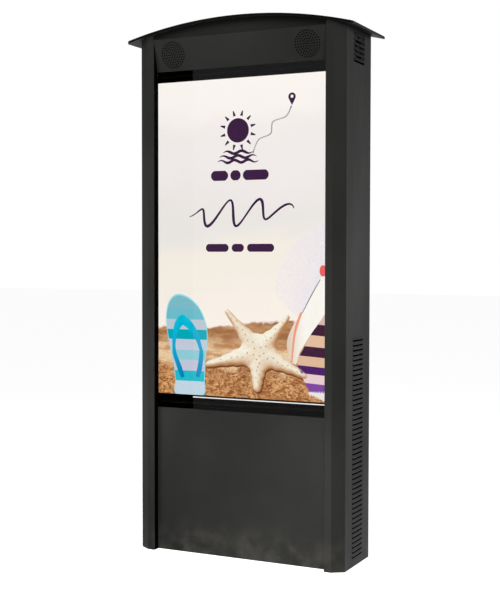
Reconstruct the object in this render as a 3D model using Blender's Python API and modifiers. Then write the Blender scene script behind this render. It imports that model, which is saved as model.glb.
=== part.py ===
"""Outdoor touchscreen kiosk: a folded steel cabinet under a curved rain canopy.

Metres, +Z up.  X runs to the right of a person who faces the screen, and Y runs from the front to the
back.  A depth is measured back from the front faces of the two posts, which lie at FRONT_Y.
"""

import math

import bmesh
import bpy
from mathutils import Euler, Matrix, Vector

# Cabinet
OPENING_HALF_WIDTH = 0.3587
POST_FACE_WIDTH = 0.0288
CHAMFER_WIDTH = 0.0434
CHAMFER_DEPTH = 0.0286
BODY_HALF_WIDTH = OPENING_HALF_WIDTH + POST_FACE_WIDTH + CHAMFER_WIDTH
BODY_DEPTH = 0.2793
RECESS = 0.0296
SHEET = 0.0020
FOLD_RADIUS = 0.0030
REAR_FLANGE = 0.050
GAP = 0.0003

# Canopy
ROOF_HALF_WIDTH = 0.4702
ROOF_RADIUS = 1.8036
ROOF_TOP = 2.0523
ROOF_EDGE = 0.009
ROOF_SKIN = 0.003
ROOF_CORNER = 0.012
ROOF_FRONT_OVERHANG = 0.0150
ROOF_REAR_OVERHANG = 0.0507
ROOF_DEPTH = ROOF_FRONT_OVERHANG + BODY_DEPTH + ROOF_REAR_OVERHANG
ROOF_CENTRE_Z = ROOF_TOP - ROOF_RADIUS
ROOF_FACETS = 24
FRONT_Y = ROOF_FRONT_OVERHANG - ROOF_DEPTH / 2

# Front, from the floor up
LOWER_PANEL_TOP = 0.5625
PICTURE_BOTTOM = 0.6171
PICTURE_TOP = 1.8267
SPEAKER_PANEL_BOTTOM = 1.8689
SPEAKER_PANEL_TOP = 1.9890
GLASS_THICKNESS = 0.006
FRONT_SHEET_HALF_WIDTH = OPENING_HALF_WIDTH + 0.012
PANEL_FLANGE = 0.015

# Loudspeakers, behind the tilted panel
SPEAKER_X = 0.281
SPEAKER_TILT = math.atan2(RECESS, SPEAKER_PANEL_TOP - SPEAKER_PANEL_BOTTOM)
PERFORATION_RINGS = 5
PERFORATION_PITCH = 0.0096
PERFORATION_RADIUS = 0.0026
PERFORATION_SIDES = 4

# Louvres pressed in the side panels
LOUVRE_PITCH = 0.01835
LOUVRE_FRONT = 0.0985
LOUVRE_REAR = 0.2065
LOUVRE_PROUD = 0.0050
LOUVRE_HEIGHT = 0.0125
LOUVRE_SKIN = 0.0012
LOUVRE_WINDOW = 0.0050
LOW_LOUVRES = (0.0380, 45)
HIGH_LOUVRES = (1.8720, 6)

# Inside the cabinet
BASE_THICKNESS = 0.006
UPRIGHT_X = 0.335
TUBE = 0.030
TUBE_WALL = 0.002
UPRIGHT_DEPTH = 0.0703
DISPLAY_DEPTH = 0.0260
PLATE_DEPTH = UPRIGHT_DEPTH + TUBE + GAP
MOUNTING_DEPTH = PLATE_DEPTH + SHEET + GAP
FAN_SIZE = 0.092
FAN_THICKNESS = 0.025
FAN_Z = 1.920
FAN_BLADES = 7
RAIL_Z = 0.3175

# Rear door
DOOR_HALF_WIDTH = 0.400
DOOR_BOTTOM = 0.045
DOOR_TOP = 1.945
DOOR_DEPTH = 0.0130
DOOR_CLEARANCE = 0.0030
DOOR_OUTER = BODY_DEPTH + DOOR_CLEARANCE + DOOR_DEPTH
DOOR_INNER = DOOR_OUTER - SHEET
OPENING_TOP = 1.905
OPENING_BOTTOM = 0.075
REAR_OPENING_HALF_WIDTH = BODY_HALF_WIDTH - REAR_FLANGE
HINGE_X = -0.4098
HINGE_DEPTH = BODY_DEPTH + 0.0090
HINGE_RADIUS = 0.0085
HINGE_HEIGHTS = (0.20, 0.995, 1.79)
KNUCKLE_LENGTH = 0.040
PIN_RADIUS = 0.0040
LOCK_X = 0.345
LOCK_Z = 1.000
SPINDLE_RADIUS = 0.0060
ROD_TRAVEL = 0.020
CRANK_RADIUS = ROD_TRAVEL / math.sqrt(2)
ROD_WIDTH = 0.012
ROD_THICKNESS = 0.003
ROD_DEPTH = 0.2575
GRIP_STANDOFF = 0.0100

AXES = {"X": Euler((0, math.pi / 2, 0)), "Y": Euler((math.pi / 2, 0, 0)), "Z": Euler((0, 0, 0))}


# Scene and materials ------------------------------------------------------------------------------

def clear_scene():
    for old in list(bpy.data.objects):
        bpy.data.objects.remove(old, do_unlink=True)


def new_collection(name):
    collection = bpy.data.collections.new(name)
    bpy.context.scene.collection.children.link(collection)
    return collection


def material(name, colour, roughness, metallic=0.0):
    made = bpy.data.materials.new(name)
    made.use_nodes = True
    shader = made.node_tree.nodes["Principled BSDF"]
    shader.inputs["Base Color"].default_value = (*colour, 1.0)
    shader.inputs["Roughness"].default_value = roughness
    shader.inputs["Metallic"].default_value = metallic
    return made


clear_scene()
PARTS = new_collection("touchscreen_kiosk")
CUTTERS = new_collection("cutters")
CUTTERS.hide_render = True

BLACK_PAINT = material("black_powder_coat", (0.030, 0.030, 0.028), 0.45, 0.2)
ZINC = material("zinc_plated_steel", (0.60, 0.60, 0.58), 0.35, 1.0)
STEEL = material("bright_steel", (0.62, 0.62, 0.64), 0.25, 1.0)
GLASS = material("black_bordered_glass", (0.02, 0.02, 0.02), 0.05)
RUBBER = material("black_rubber", (0.02, 0.02, 0.02), 0.8)
DISPLAY = material("display", (0.85, 0.80, 0.74), 0.3)
DARK_PLASTIC = material("dark_plastic", (0.03, 0.03, 0.03), 0.5)
GREY_PLASTIC = material("grey_plastic", (0.55, 0.56, 0.56), 0.5)
RED_PLASTIC = material("red_plastic", (0.55, 0.03, 0.02), 0.4)
BOARD = material("circuit_board", (0.02, 0.16, 0.06), 0.5)
CONE = material("speaker_cone", (0.05, 0.05, 0.05), 0.8)
FILTER = material("filter_mat", (0.45, 0.46, 0.44), 0.95)


# Shapes -------------------------------------------------------------------------------------------

def place(name, mesh, look, origin=(0, 0, 0)):
    """A part where look is a material, or a hidden helper for a Boolean where it is None."""
    made = bpy.data.objects.new(name, mesh)
    made.location = origin
    if look is None:
        CUTTERS.objects.link(made)
        made.hide_render = True
        made.display_type = "WIRE"
    else:
        PARTS.objects.link(made)
        mesh.materials.append(look)
    return made


def to_mesh(bm, name):
    bmesh.ops.recalc_face_normals(bm, faces=bm.faces)
    mesh = bpy.data.meshes.new(name)
    bm.to_mesh(mesh)
    bm.free()
    return mesh


def box(name, x, depth, z, look=None, origin=None):
    """A block between the two values of x, depth and z."""
    low = Vector((x[0], FRONT_Y + depth[0], z[0]))
    high = Vector((x[1], FRONT_Y + depth[1], z[1]))
    middle = (low + high) / 2
    origin = middle if origin is None else Vector(origin)
    matrix = Matrix.Translation(middle - origin) @ Matrix.Diagonal((*(high - low), 1))
    bm = bmesh.new()
    bmesh.ops.create_cube(bm, size=1, matrix=matrix)
    return place(name, to_mesh(bm, name), look, origin)


def about(middle, half):
    """The two ends of a span this far to each side of its middle."""
    return (middle - half, middle + half)


def cylinder(name, centre, axis, radius, length, look=None, origin=None, sides=24):
    """A round bar centred on a point, whose second number is a depth."""
    middle = Vector((centre[0], FRONT_Y + centre[1], centre[2]))
    origin = middle if origin is None else Vector(origin)
    matrix = Matrix.Translation(middle - origin) @ AXES[axis].to_matrix().to_4x4()
    bm = bmesh.new()
    bmesh.ops.create_cone(
        bm, cap_ends=True, segments=sides, radius1=radius, radius2=radius, depth=length, matrix=matrix
    )
    mesh = to_mesh(bm, name)
    mesh.shade_smooth()
    mesh.set_sharp_from_angle(angle=math.radians(40))
    return place(name, mesh, look, origin)


def modifier_boolean(target, other, operation):
    boolean = target.modifiers.new(operation.lower() + "_" + other.name, "BOOLEAN")
    boolean.operation = operation
    boolean.object = other


def cut(target, *others):
    for other in others:
        modifier_boolean(target, other, "DIFFERENCE")
    return target


def join(target, *others):
    for other in others:
        modifier_boolean(target, other, "UNION")
    return target


def outline_mesh(name, outline, thickness):
    """A flat plate of a closed outline, centred on its own XY plane, welded into one mesh."""
    curve = bpy.data.curves.new(name, "CURVE")
    curve.dimensions = "2D"
    curve.fill_mode = "BOTH"
    curve.extrude = thickness / 2
    spline = curve.splines.new("POLY")
    spline.points.add(len(outline) - 1)
    for point, (u, v) in zip(spline.points, outline):
        point.co = (u, v, 0, 1)
    spline.use_cyclic_u = True
    drawn = bpy.data.objects.new(name, curve)
    CUTTERS.objects.link(drawn)
    graph = bpy.context.evaluated_depsgraph_get()
    mesh = bpy.data.meshes.new_from_object(drawn.evaluated_get(graph))
    bpy.data.objects.remove(drawn)
    bm = bmesh.new()
    bm.from_mesh(mesh)
    bmesh.ops.remove_doubles(bm, verts=bm.verts, dist=1e-6)
    bmesh.ops.dissolve_limit(bm, angle_limit=0.001, verts=bm.verts, edges=bm.edges)
    bpy.data.meshes.remove(mesh)
    return to_mesh(bm, name)


def upright_plate(name, outline, depth, look=None):
    """A plate whose outline is in x and z, between two depths."""
    made = place(name, outline_mesh(name, outline, depth[1] - depth[0]), look)
    made.location.y = FRONT_Y + sum(depth) / 2
    made.rotation_euler = AXES["Y"]
    return made


def rounded(path, radius, steps=3):
    """The path with each inner corner replaced by an arc of the radius."""
    result = [Vector(path[0])]
    for before, corner, after in zip(path, path[1:], path[2:]):
        corner = Vector(corner)
        back = (Vector(before) - corner).normalized()
        ahead = (Vector(after) - corner).normalized()
        half = back.angle(ahead) / 2
        centre = corner + (back + ahead).normalized() * radius / math.sin(half)
        start = corner + back * radius / math.tan(half) - centre
        end = corner + ahead * radius / math.tan(half) - centre
        turn = start.angle_signed(end)
        for step in range(steps + 1):
            result.append(centre + Matrix.Rotation(-turn * step / steps, 2) @ start)
    result.append(Vector(path[-1]))
    return result


def folded_sheet(name, path, low, high, along, look):
    """Sheet metal folded along a path, drawn out along Z or X.  The path is its outer face."""
    bm = bmesh.new()
    rows = []
    for reach in (low, high):
        if along == "Z":
            rows.append([bm.verts.new((u, FRONT_Y + v, reach)) for u, v in path])
        else:
            rows.append([bm.verts.new((reach, FRONT_Y + u, v)) for u, v in path])
    for i in range(len(path) - 1):
        bm.faces.new((rows[0][i], rows[0][i + 1], rows[1][i + 1], rows[1][i]))
    mesh = bpy.data.meshes.new(name)
    bm.to_mesh(mesh)
    bm.free()
    made = place(name, mesh, look)
    solid = made.modifiers.new("thickness", "SOLIDIFY")
    solid.thickness = SHEET
    solid.offset = -1
    solid.use_even_offset = True
    return made


def turned(name, profile, look, closed_loop=False, steps=20):
    """A profile of (radius, height) points turned about Z.  At its outer side it runs top to bottom."""
    bm = bmesh.new()
    points = [bm.verts.new((radius, 0, height)) for radius, height in profile]
    pairs = list(zip(points, points[1:]))
    if closed_loop:
        pairs.append((points[-1], points[0]))
    for pair in pairs:
        bm.edges.new(pair)
    mesh = bpy.data.meshes.new(name)
    bm.to_mesh(mesh)
    bm.free()
    made = place(name, mesh, look)
    screw = made.modifiers.new("turn", "SCREW")
    screw.steps = steps
    screw.render_steps = steps
    screw.use_merge_vertices = True
    screw.merge_threshold = 0.00001
    return made


def repeated(name, mesh, offsets, look=None):
    """One mesh with a copy of the given one at each offset."""
    bm = bmesh.new()
    for offset in offsets:
        before = len(bm.verts)
        bm.from_mesh(mesh)
        bm.verts.ensure_lookup_table()
        bmesh.ops.translate(bm, verts=bm.verts[before:], vec=offset)
    return place(name, to_mesh(bm, name), look)


# Canopy -------------------------------------------------------------------------------------------

def arch(drop, half_width=ROOF_HALF_WIDTH):
    """Points in x and z along the canopy's curve, this far below its top surface."""
    reach = math.asin(half_width / ROOF_RADIUS)
    radius = ROOF_RADIUS - drop
    points = []
    for step in range(ROOF_FACETS + 1):
        angle = reach * (2 * step / ROOF_FACETS - 1)
        points.append((radius * math.sin(angle), ROOF_CENTRE_Z + radius * math.cos(angle)))
    return points


def sky():
    """Everything above the canopy's underside, to trim the tops of the sheets that meet it."""
    outline = arch(ROOF_EDGE + GAP) + [(ROOF_HALF_WIDTH, 2.2), (-ROOF_HALF_WIDTH, 2.2)]
    return upright_plate("sky", outline, (-0.1, BODY_DEPTH + 0.1))


def roof_canopy():
    outline = arch(0) + arch(ROOF_EDGE)[::-1]
    depth = (-ROOF_FRONT_OVERHANG, BODY_DEPTH + ROOF_REAR_OVERHANG)
    mesh = outline_mesh("roof_canopy", outline, depth[1] - depth[0])
    bm = bmesh.new()
    bm.from_mesh(mesh)
    tip = ROOF_HALF_WIDTH - 0.005
    corners = [edge for edge in bm.edges if all(abs(v.co.x) > tip for v in edge.verts)]
    corners = [edge for edge in corners if abs(edge.verts[0].co.z - edge.verts[1].co.z) < 1e-6]
    bmesh.ops.bevel(bm, geom=corners, offset=ROOF_CORNER, segments=4, profile=0.5, affect="EDGES")
    roof = place("roof_canopy", to_mesh(bm, "roof_canopy"), BLACK_PAINT)
    roof.location.y = FRONT_Y + sum(depth) / 2
    roof.rotation_euler = AXES["Y"]
    inside = OPENING_HALF_WIDTH - 0.004
    pocket = arch(ROOF_SKIN, inside) + [(inside, 1.9), (-inside, 1.9)]
    cut(roof, upright_plate("roof_pocket", pocket, (SHEET + GAP, BODY_DEPTH - SHEET - GAP)))


def roof_rib(name, depth):
    half_width = OPENING_HALF_WIDTH - 0.0045
    bottom = SPEAKER_PANEL_TOP + 0.003
    outline = arch(ROOF_SKIN + GAP, half_width) + [(half_width, bottom), (-half_width, bottom)]
    upright_plate(name, outline, depth, ZINC)


# Cabinet sheets -----------------------------------------------------------------------------------

def louvre_prisms(name, side, start, count, inner):
    """The hoods of one column of louvres, or with inner set the spaces that open under them."""
    wall = BODY_HALF_WIDTH - (SHEET + 0.0005 if inner else 0.0008)
    lip = BODY_HALF_WIDTH + LOUVRE_PROUD - (LOUVRE_SKIN if inner else 0)
    base = -0.0005 if inner else 0
    height = LOUVRE_HEIGHT - (0.0020 if inner else 0)
    outline = [(side * wall, base), (side * lip, base), (side * wall, height)]
    shorter = LOUVRE_SKIN if inner else 0
    length = LOUVRE_REAR - LOUVRE_FRONT - 2 * shorter
    mesh = outline_mesh(name, outline, length)
    for vertex in mesh.vertices:
        if abs(vertex.co.x) > BODY_HALF_WIDTH:
            vertex.co.z *= 1 - 2 * LOUVRE_PROUD / length
    mesh.transform(AXES["Y"].to_matrix().to_4x4())
    middle = FRONT_Y + (LOUVRE_FRONT + LOUVRE_REAR) / 2
    return repeated(name, mesh, [(0, middle, start + row * LOUVRE_PITCH) for row in range(count)])


def louvre_windows(name, side, start, count):
    """The strips of one column that are open in the wall itself, just under the hoods."""
    middle = Vector((side * (BODY_HALF_WIDTH - SHEET / 2), 0, -(LOUVRE_WINDOW + 0.0003) / 2))
    size = (SHEET + 0.0010, LOUVRE_REAR - LOUVRE_FRONT - 2 * LOUVRE_PROUD, LOUVRE_WINDOW - 0.0003)
    bm = bmesh.new()
    bmesh.ops.create_cube(bm, size=1, matrix=Matrix.Translation(middle) @ Matrix.Diagonal((*size, 1)))
    mesh = to_mesh(bm, name)
    depth = FRONT_Y + (LOUVRE_FRONT + LOUVRE_REAR) / 2
    return repeated(name, mesh, [(0, depth, start + row * LOUVRE_PITCH) for row in range(count)])


def side_panel(name, side, above):
    """Recess return, post face, chamfer, side and rear flange, folded from one sheet."""
    path = [
        (OPENING_HALF_WIDTH, RECESS - GAP),
        (OPENING_HALF_WIDTH, 0),
        (OPENING_HALF_WIDTH + POST_FACE_WIDTH, 0),
        (BODY_HALF_WIDTH, CHAMFER_DEPTH),
        (BODY_HALF_WIDTH, BODY_DEPTH),
        (BODY_HALF_WIDTH - REAR_FLANGE, BODY_DEPTH),
    ]
    path = [(side * x, depth) for x, depth in rounded(path, FOLD_RADIUS)]
    panel = folded_sheet(name, path[::side], 0, ROOF_TOP, "Z", BLACK_PAINT)
    cut(panel, above)
    for label, (start, count) in (("low", LOW_LOUVRES), ("high", HIGH_LOUVRES)):
        join(panel, louvre_prisms(f"{name}_{label}_hoods", side, start, count, inner=False))
        cut(panel, louvre_prisms(f"{name}_{label}_slots", side, start, count, inner=True))
        cut(panel, louvre_windows(f"{name}_{label}_windows", side, start, count))


def lower_front_panel():
    path = [
        (RECESS + PANEL_FLANGE, LOWER_PANEL_TOP),
        (RECESS, LOWER_PANEL_TOP),
        (RECESS, 0.0008),
    ]
    half = FRONT_SHEET_HALF_WIDTH
    folded_sheet("lower_front_panel", rounded(path, 0.0022), -half, half, "X", BLACK_PAINT)


def speaker_perforations(name, side):
    """Small holes in rings of six, twelve, eighteen and so on about a middle one."""
    bm = bmesh.new()
    spots = [Vector((0, 0, 0))]
    for ring in range(1, PERFORATION_RINGS + 1):
        for hole in range(6 * ring):
            angle = 2 * math.pi * hole / (6 * ring)
            radius = ring * PERFORATION_PITCH
            spots.append(Vector((radius * math.cos(angle), radius * math.sin(angle), 0)))
    for spot in spots:
        bmesh.ops.create_cone(
            bm,
            cap_ends=True,
            segments=PERFORATION_SIDES,
            radius1=PERFORATION_RADIUS,
            radius2=PERFORATION_RADIUS,
            depth=4 * SHEET,
            matrix=Matrix.Translation(spot),
        )
    holes = place(name, to_mesh(bm, name), None)
    stand_at_speaker(holes, side, 0)
    return holes


def stand_at_speaker(made, side, behind):
    """Puts a piece on a loudspeaker's axis, its +Z out of the panel, this far behind the panel's face."""
    made.rotation_euler = (math.pi / 2 + SPEAKER_TILT, 0, 0)
    outwards = Vector((0, -math.cos(SPEAKER_TILT), -math.sin(SPEAKER_TILT)))
    face = Vector((side * SPEAKER_X, FRONT_Y + RECESS / 2, (SPEAKER_PANEL_TOP + SPEAKER_PANEL_BOTTOM) / 2))
    made.location = face - outwards * behind


def speaker_panel():
    top = SPEAKER_PANEL_TOP - GAP
    path = [
        (PANEL_FLANGE, top),
        (0, top),
        (RECESS, SPEAKER_PANEL_BOTTOM),
        (RECESS + PANEL_FLANGE, SPEAKER_PANEL_BOTTOM),
    ]
    half = OPENING_HALF_WIDTH - GAP
    panel = folded_sheet("speaker_panel", rounded(path, 0.0022), -half, half, "X", BLACK_PAINT)
    cut(panel, speaker_perforations("left_holes", -1), speaker_perforations("right_holes", 1))


def cabinet_sheets():
    above = sky()
    side_panel("side_panel_left", -1, above)
    side_panel("side_panel_right", 1, above)
    lower_front_panel()
    speaker_panel()
    inside = OPENING_HALF_WIDTH - GAP
    fascia = box(
        "arch_fascia", (-inside, inside), (0, SHEET), (SPEAKER_PANEL_TOP, ROOF_TOP), BLACK_PAINT
    )
    cut(fascia, above)
    rear = (BODY_DEPTH - SHEET, BODY_DEPTH)
    half = REAR_OPENING_HALF_WIDTH - GAP
    header = box("rear_header", (-half, half), rear, (OPENING_TOP, ROOF_TOP), BLACK_PAINT)
    cut(header, above)
    box("rear_sill", (-half, half), rear, (0, OPENING_BOTTOM), BLACK_PAINT)
    roof_canopy()
    roof_rib("roof_rib_front", (SHEET + 2 * GAP, SHEET + 2 * GAP + 0.003))
    roof_rib("roof_rib_rear", (BODY_DEPTH - 0.0056, BODY_DEPTH - 0.0026))


# Base and chassis ---------------------------------------------------------------------------------

def base_plate():
    """Stands on the floor inside the sheets: four anchor holes, a cable entry and a gland hole."""
    half = BODY_HALF_WIDTH - FOLD_RADIUS - GAP
    plate = box(
        "base_plate",
        (-half, half),
        (RECESS + SHEET + GAP, BODY_DEPTH - SHEET - GAP),
        (0, BASE_THICKNESS),
        ZINC,
    )
    for x in (-0.36, 0.36):
        for depth in (0.075, 0.235):
            cut(plate, cylinder("anchor_hole", (x, depth, 0), "Z", 0.009, 0.05, sides=12))
    cut(plate, cylinder("cable_entry", (0, 0.200, 0), "Z", 0.040, 0.05))
    cut(plate, cylinder("gland_hole", (0.150, 0.200, 0), "Z", 0.0106, 0.05, sides=20))


def square_tube(name, centre, low, high, axis):
    """An open-ended square tube along Z or X."""
    def span(middle, half):
        return (middle - half, middle + half)

    def tube_box(label, half, extra, look=None):
        if axis == "Z":
            x, z = span(centre, half), (low - extra, high + extra)
        else:
            x, z = (low - extra, high + extra), span(centre, half)
        depth = span(UPRIGHT_DEPTH + TUBE / 2, half)
        return box(label, x, depth, z, look)

    tube = tube_box(name, TUBE / 2, 0, ZINC)
    return cut(tube, tube_box(name + "_bore", TUBE / 2 - TUBE_WALL, 0.01))


def chassis():
    square_tube("chassis_upright_left", -UPRIGHT_X, BASE_THICKNESS + GAP, 1.985, "Z")
    square_tube("chassis_upright_right", UPRIGHT_X, BASE_THICKNESS + GAP, 1.985, "Z")
    inner = UPRIGHT_X - TUBE / 2 - GAP
    square_tube("chassis_rail_bottom", 0.060, -inner, inner, "X")
    square_tube("chassis_rail_top", 1.860, -inner, inner, "X")
    display_back = UPRIGHT_DEPTH - GAP
    for name, z in (("display_rail_lower", 0.760), ("display_rail_upper", 1.680)):
        depth = (display_back - 0.0078, display_back)
        box(name, (-0.352, 0.352), depth, (z - 0.020, z + 0.020), ZINC)
    plate = box("equipment_plate", (-0.330, 0.330), (PLATE_DEPTH, PLATE_DEPTH + SHEET), (0.10, 1.30), ZINC)
    for x in (-0.26, 0.26):
        cut(plate, cylinder("cable_window", (x, PLATE_DEPTH, 0.62), "Y", 0.030, 0.02, sides=24))


# Display ------------------------------------------------------------------------------------------

def display():
    glass_back = RECESS + GLASS_THICKNESS
    half = FRONT_SHEET_HALF_WIDTH
    box(
        "touch_glass",
        (-half, half),
        (RECESS, glass_back),
        (LOWER_PANEL_TOP + GAP, SPEAKER_PANEL_BOTTOM - GAP),
        GLASS,
    )
    module = (glass_back + GAP, glass_back + GAP + DISPLAY_DEPTH)
    box(
        "display_module",
        (-OPENING_HALF_WIDTH, OPENING_HALF_WIDTH),
        module,
        (PICTURE_BOTTOM - 0.012, PICTURE_TOP + 0.012),
        DISPLAY,
    )
    seal = (glass_back + GAP, glass_back + GAP + 0.007)
    gasket = box("glass_gasket", (-0.3700, 0.3700), seal, (0.580, 1.855), RUBBER)
    hollow = (seal[0] - 0.01, seal[1] + 0.01)
    cut(gasket, box("gasket_window", (-0.3600, 0.3600), hollow, (0.592, 1.843)))


# Loudspeakers -------------------------------------------------------------------------------------

def loudspeaker(label, side):
    """Heights are along the loudspeaker's axis, 0 at the front of its flange."""
    basket = [
        (0.0460, 0.0000),
        (0.0540, 0.0000),
        (0.0540, -0.0030),
        (0.0480, -0.0045),
        (0.0330, -0.0250),
        (0.0330, -0.0420),
        (0.0100, -0.0420),
        (0.0100, -0.0235),
        (0.0270, -0.0220),
        (0.0450, -0.0040),
    ]
    cone = [
        (0.0000, -0.0100),
        (0.0080, -0.0110),
        (0.0130, -0.0140),
        (0.0400, -0.0034),
        (0.0425, -0.0034),
        (0.0420, -0.0044),
        (0.0400, -0.0044),
        (0.0130, -0.0160),
        (0.0090, -0.0200),
        (0.0000, -0.0200),
    ]
    holder = turned(f"speaker_basket_{label}", basket, DARK_PLASTIC, closed_loop=True)
    stand_at_speaker(holder, side, SHEET + GAP)
    moving = turned(f"speaker_cone_{label}", cone, CONE)
    stand_at_speaker(moving, side, SHEET + GAP)


# Cooling ------------------------------------------------------------------------------------------

def fan(label, side):
    """An axial fan behind the high louvres, blowing out through the side."""
    outer = BODY_HALF_WIDTH - SHEET - GAP
    inner = outer - FAN_THICKNESS
    middle_depth = (LOUVRE_FRONT + LOUVRE_REAR) / 2
    half = FAN_SIZE / 2

    def across(near, far):
        return tuple(sorted((side * near, side * far)))

    housing = box(
        f"fan_housing_{label}",
        across(inner, outer),
        (middle_depth - half, middle_depth + half),
        (FAN_Z - half, FAN_Z + half),
        DARK_PLASTIC,
    )
    centre = (side * (inner + outer) / 2, middle_depth, FAN_Z)
    cut(housing, cylinder(f"{label}_fan_bore", centre, "X", 0.0430, 0.05, sides=32))
    spider = cylinder(f"{label}_spider", (side * (inner + 0.002), middle_depth, FAN_Z), "X", 0.019, 0.0038)
    arm = across(inner + 0.0002, inner + 0.0036)
    join(
        spider,
        box(f"{label}_arm_z", arm, about(middle_depth, 0.003), about(FAN_Z, 0.0445)),
        box(f"{label}_arm_y", arm, about(middle_depth, 0.0445), about(FAN_Z, 0.003)),
    )
    join(housing, spider)

    hub_centre = (side * (inner + 0.0135), middle_depth, FAN_Z)
    origin = (hub_centre[0], FRONT_Y + middle_depth, FAN_Z)
    impeller = cylinder(f"fan_impeller_{label}", hub_centre, "X", 0.018, 0.018, DARK_PLASTIC, origin)
    bm = bmesh.new()
    for blade in range(FAN_BLADES):
        turn = Matrix.Rotation(2 * math.pi * blade / FAN_BLADES, 4, "X")
        lean = Matrix.Rotation(side * math.radians(38), 4, "Z")
        reach = Matrix.Translation((0, 0, 0.0290)) @ lean @ Matrix.Diagonal((0.0140, 0.0014, 0.0250, 1))
        bmesh.ops.create_cube(bm, size=1, matrix=turn @ reach)
    blades = place(f"{label}_blades", to_mesh(bm, f"{label}_blades"), None, origin)
    join(impeller, blades)


def filter_cassette(label, side):
    outer = BODY_HALF_WIDTH - SHEET - GAP
    near, far = sorted((side * (outer - 0.014), side * outer))
    box(f"filter_cassette_{label}", (near, far), (0.090, 0.215), (0.030, 0.852), FILTER)


# Electrical equipment -----------------------------------------------------------------------------

def on_plate(name, x, z, thickness, look):
    return box(name, x, (MOUNTING_DEPTH, MOUNTING_DEPTH + thickness), z, look)


def circuit_board(name, x, z, chips):
    """A board on a tray, with a block for each group of components: x, z, width, height, thickness."""
    board = on_plate(name, x, z, 0.008, BOARD)
    for number, (cx, cz, width, height, thickness) in enumerate(chips):
        block = box(
            f"{name}_chip_{number}",
            (cx - width / 2, cx + width / 2),
            (MOUNTING_DEPTH + 0.006, MOUNTING_DEPTH + 0.008 + thickness),
            (cz - height / 2, cz + height / 2),
        )
        join(board, block)


def din_rail():
    """Top-hat rail, 35 mm wide and 7.5 mm deep."""
    outer, inner, rise, wall = 0.0175, 0.0125, 0.0075, 0.0010
    depth = MOUNTING_DEPTH
    path = [
        (depth + rise, RAIL_Z - outer),
        (depth + rise, RAIL_Z - inner),
        (depth + wall, RAIL_Z - inner + 0.0005),
        (depth + wall, RAIL_Z + inner - 0.0005),
        (depth + rise, RAIL_Z + inner),
        (depth + rise, RAIL_Z + outer),
    ]
    rail = folded_sheet("din_rail", path, -0.250, 0.250, "X", STEEL)
    rail.modifiers["thickness"].thickness = wall


def on_rail(name, x, height, depth, look):
    start = MOUNTING_DEPTH + 0.0075 + 2 * GAP
    return box(name, x, (start, start + depth), (RAIL_Z - height / 2, RAIL_Z + height / 2), look)


def main_switch():
    """A two-pole isolator with a tipping lever, up at rest, where it is on."""
    body_depth = 0.054
    face = MOUNTING_DEPTH + 0.0075 + 2 * GAP + body_depth
    x = 0.098
    switch = on_rail("main_switch", (x - 0.018, x + 0.018), 0.084, body_depth, GREY_PLASTIC)
    notch = box("lever_notch", about(x, 0.0050), (face - 0.0085, face + 0.01), about(RAIL_Z, 0.009))
    cut(switch, notch)
    axis_depth = face - 0.0025
    origin = (x, FRONT_Y + axis_depth, RAIL_Z)
    centre = (x, axis_depth, RAIL_Z)
    lever = cylinder("main_switch_lever", centre, "X", 0.0050, 0.0090, RED_PLASTIC, origin, 16)
    tab_depth = (axis_depth, axis_depth + 0.014)
    tab = box("lever_tab", about(x, 0.0044), tab_depth, about(RAIL_Z, 0.0018), None, origin)
    tab.rotation_euler = (math.radians(30), 0, 0)
    join(lever, tab)


def equipment():
    on_plate("media_player", (-0.25, -0.05), (1.05, 1.23), 0.044, DARK_PLASTIC)
    on_plate("power_supply", (-0.25, -0.03), (0.72, 0.83), 0.040, STEEL)
    circuit_board(
        "display_driver_board",
        (0.05, 0.25),
        (1.05, 1.20),
        [
            (0.10, 1.13, 0.040, 0.040, 0.008),
            (0.19, 1.16, 0.060, 0.020, 0.010),
            (0.19, 1.09, 0.030, 0.030, 0.005),
        ],
    )
    circuit_board("touch_controller", (0.06, 0.16), (0.92, 0.98), [(0.11, 0.95, 0.030, 0.030, 0.004)])
    circuit_board("audio_amplifier", (-0.22, -0.10), (0.92, 0.98), [(-0.16, 0.95, 0.060, 0.026, 0.014)])
    din_rail()
    main_switch()
    on_rail("surge_protector", (0.119, 0.155), 0.084, 0.054, GREY_PLASTIC)
    on_rail("thermostat", (0.030, 0.076), 0.060, 0.036, GREY_PLASTIC)
    gland = turned(
        "mains_gland",
        [
            (0.0045, 0.0340),
            (0.0090, 0.0340),
            (0.0125, 0.0260),
            (0.0125, 0.0150),
            (0.0160, 0.0150),
            (0.0160, BASE_THICKNESS + GAP),
            (0.0100, BASE_THICKNESS + GAP),
            (0.0100, 0.0006),
            (0.0045, 0.0006),
        ],
        DARK_PLASTIC,
        closed_loop=True,
    )
    gland.location = (0.150, FRONT_Y + 0.200, 0)
    stud = cylinder("earth_stud", (-0.250, 0.200, 0.0180), "Z", 0.0040, 0.0234, STEEL)
    join(stud, cylinder("earth_nut", (-0.250, 0.200, 0.0105), "Z", 0.0075, 0.0065, sides=6))


# Rear door ----------------------------------------------------------------------------------------

def hinge_origin(z):
    return (HINGE_X, FRONT_Y + HINGE_DEPTH, z)


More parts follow.
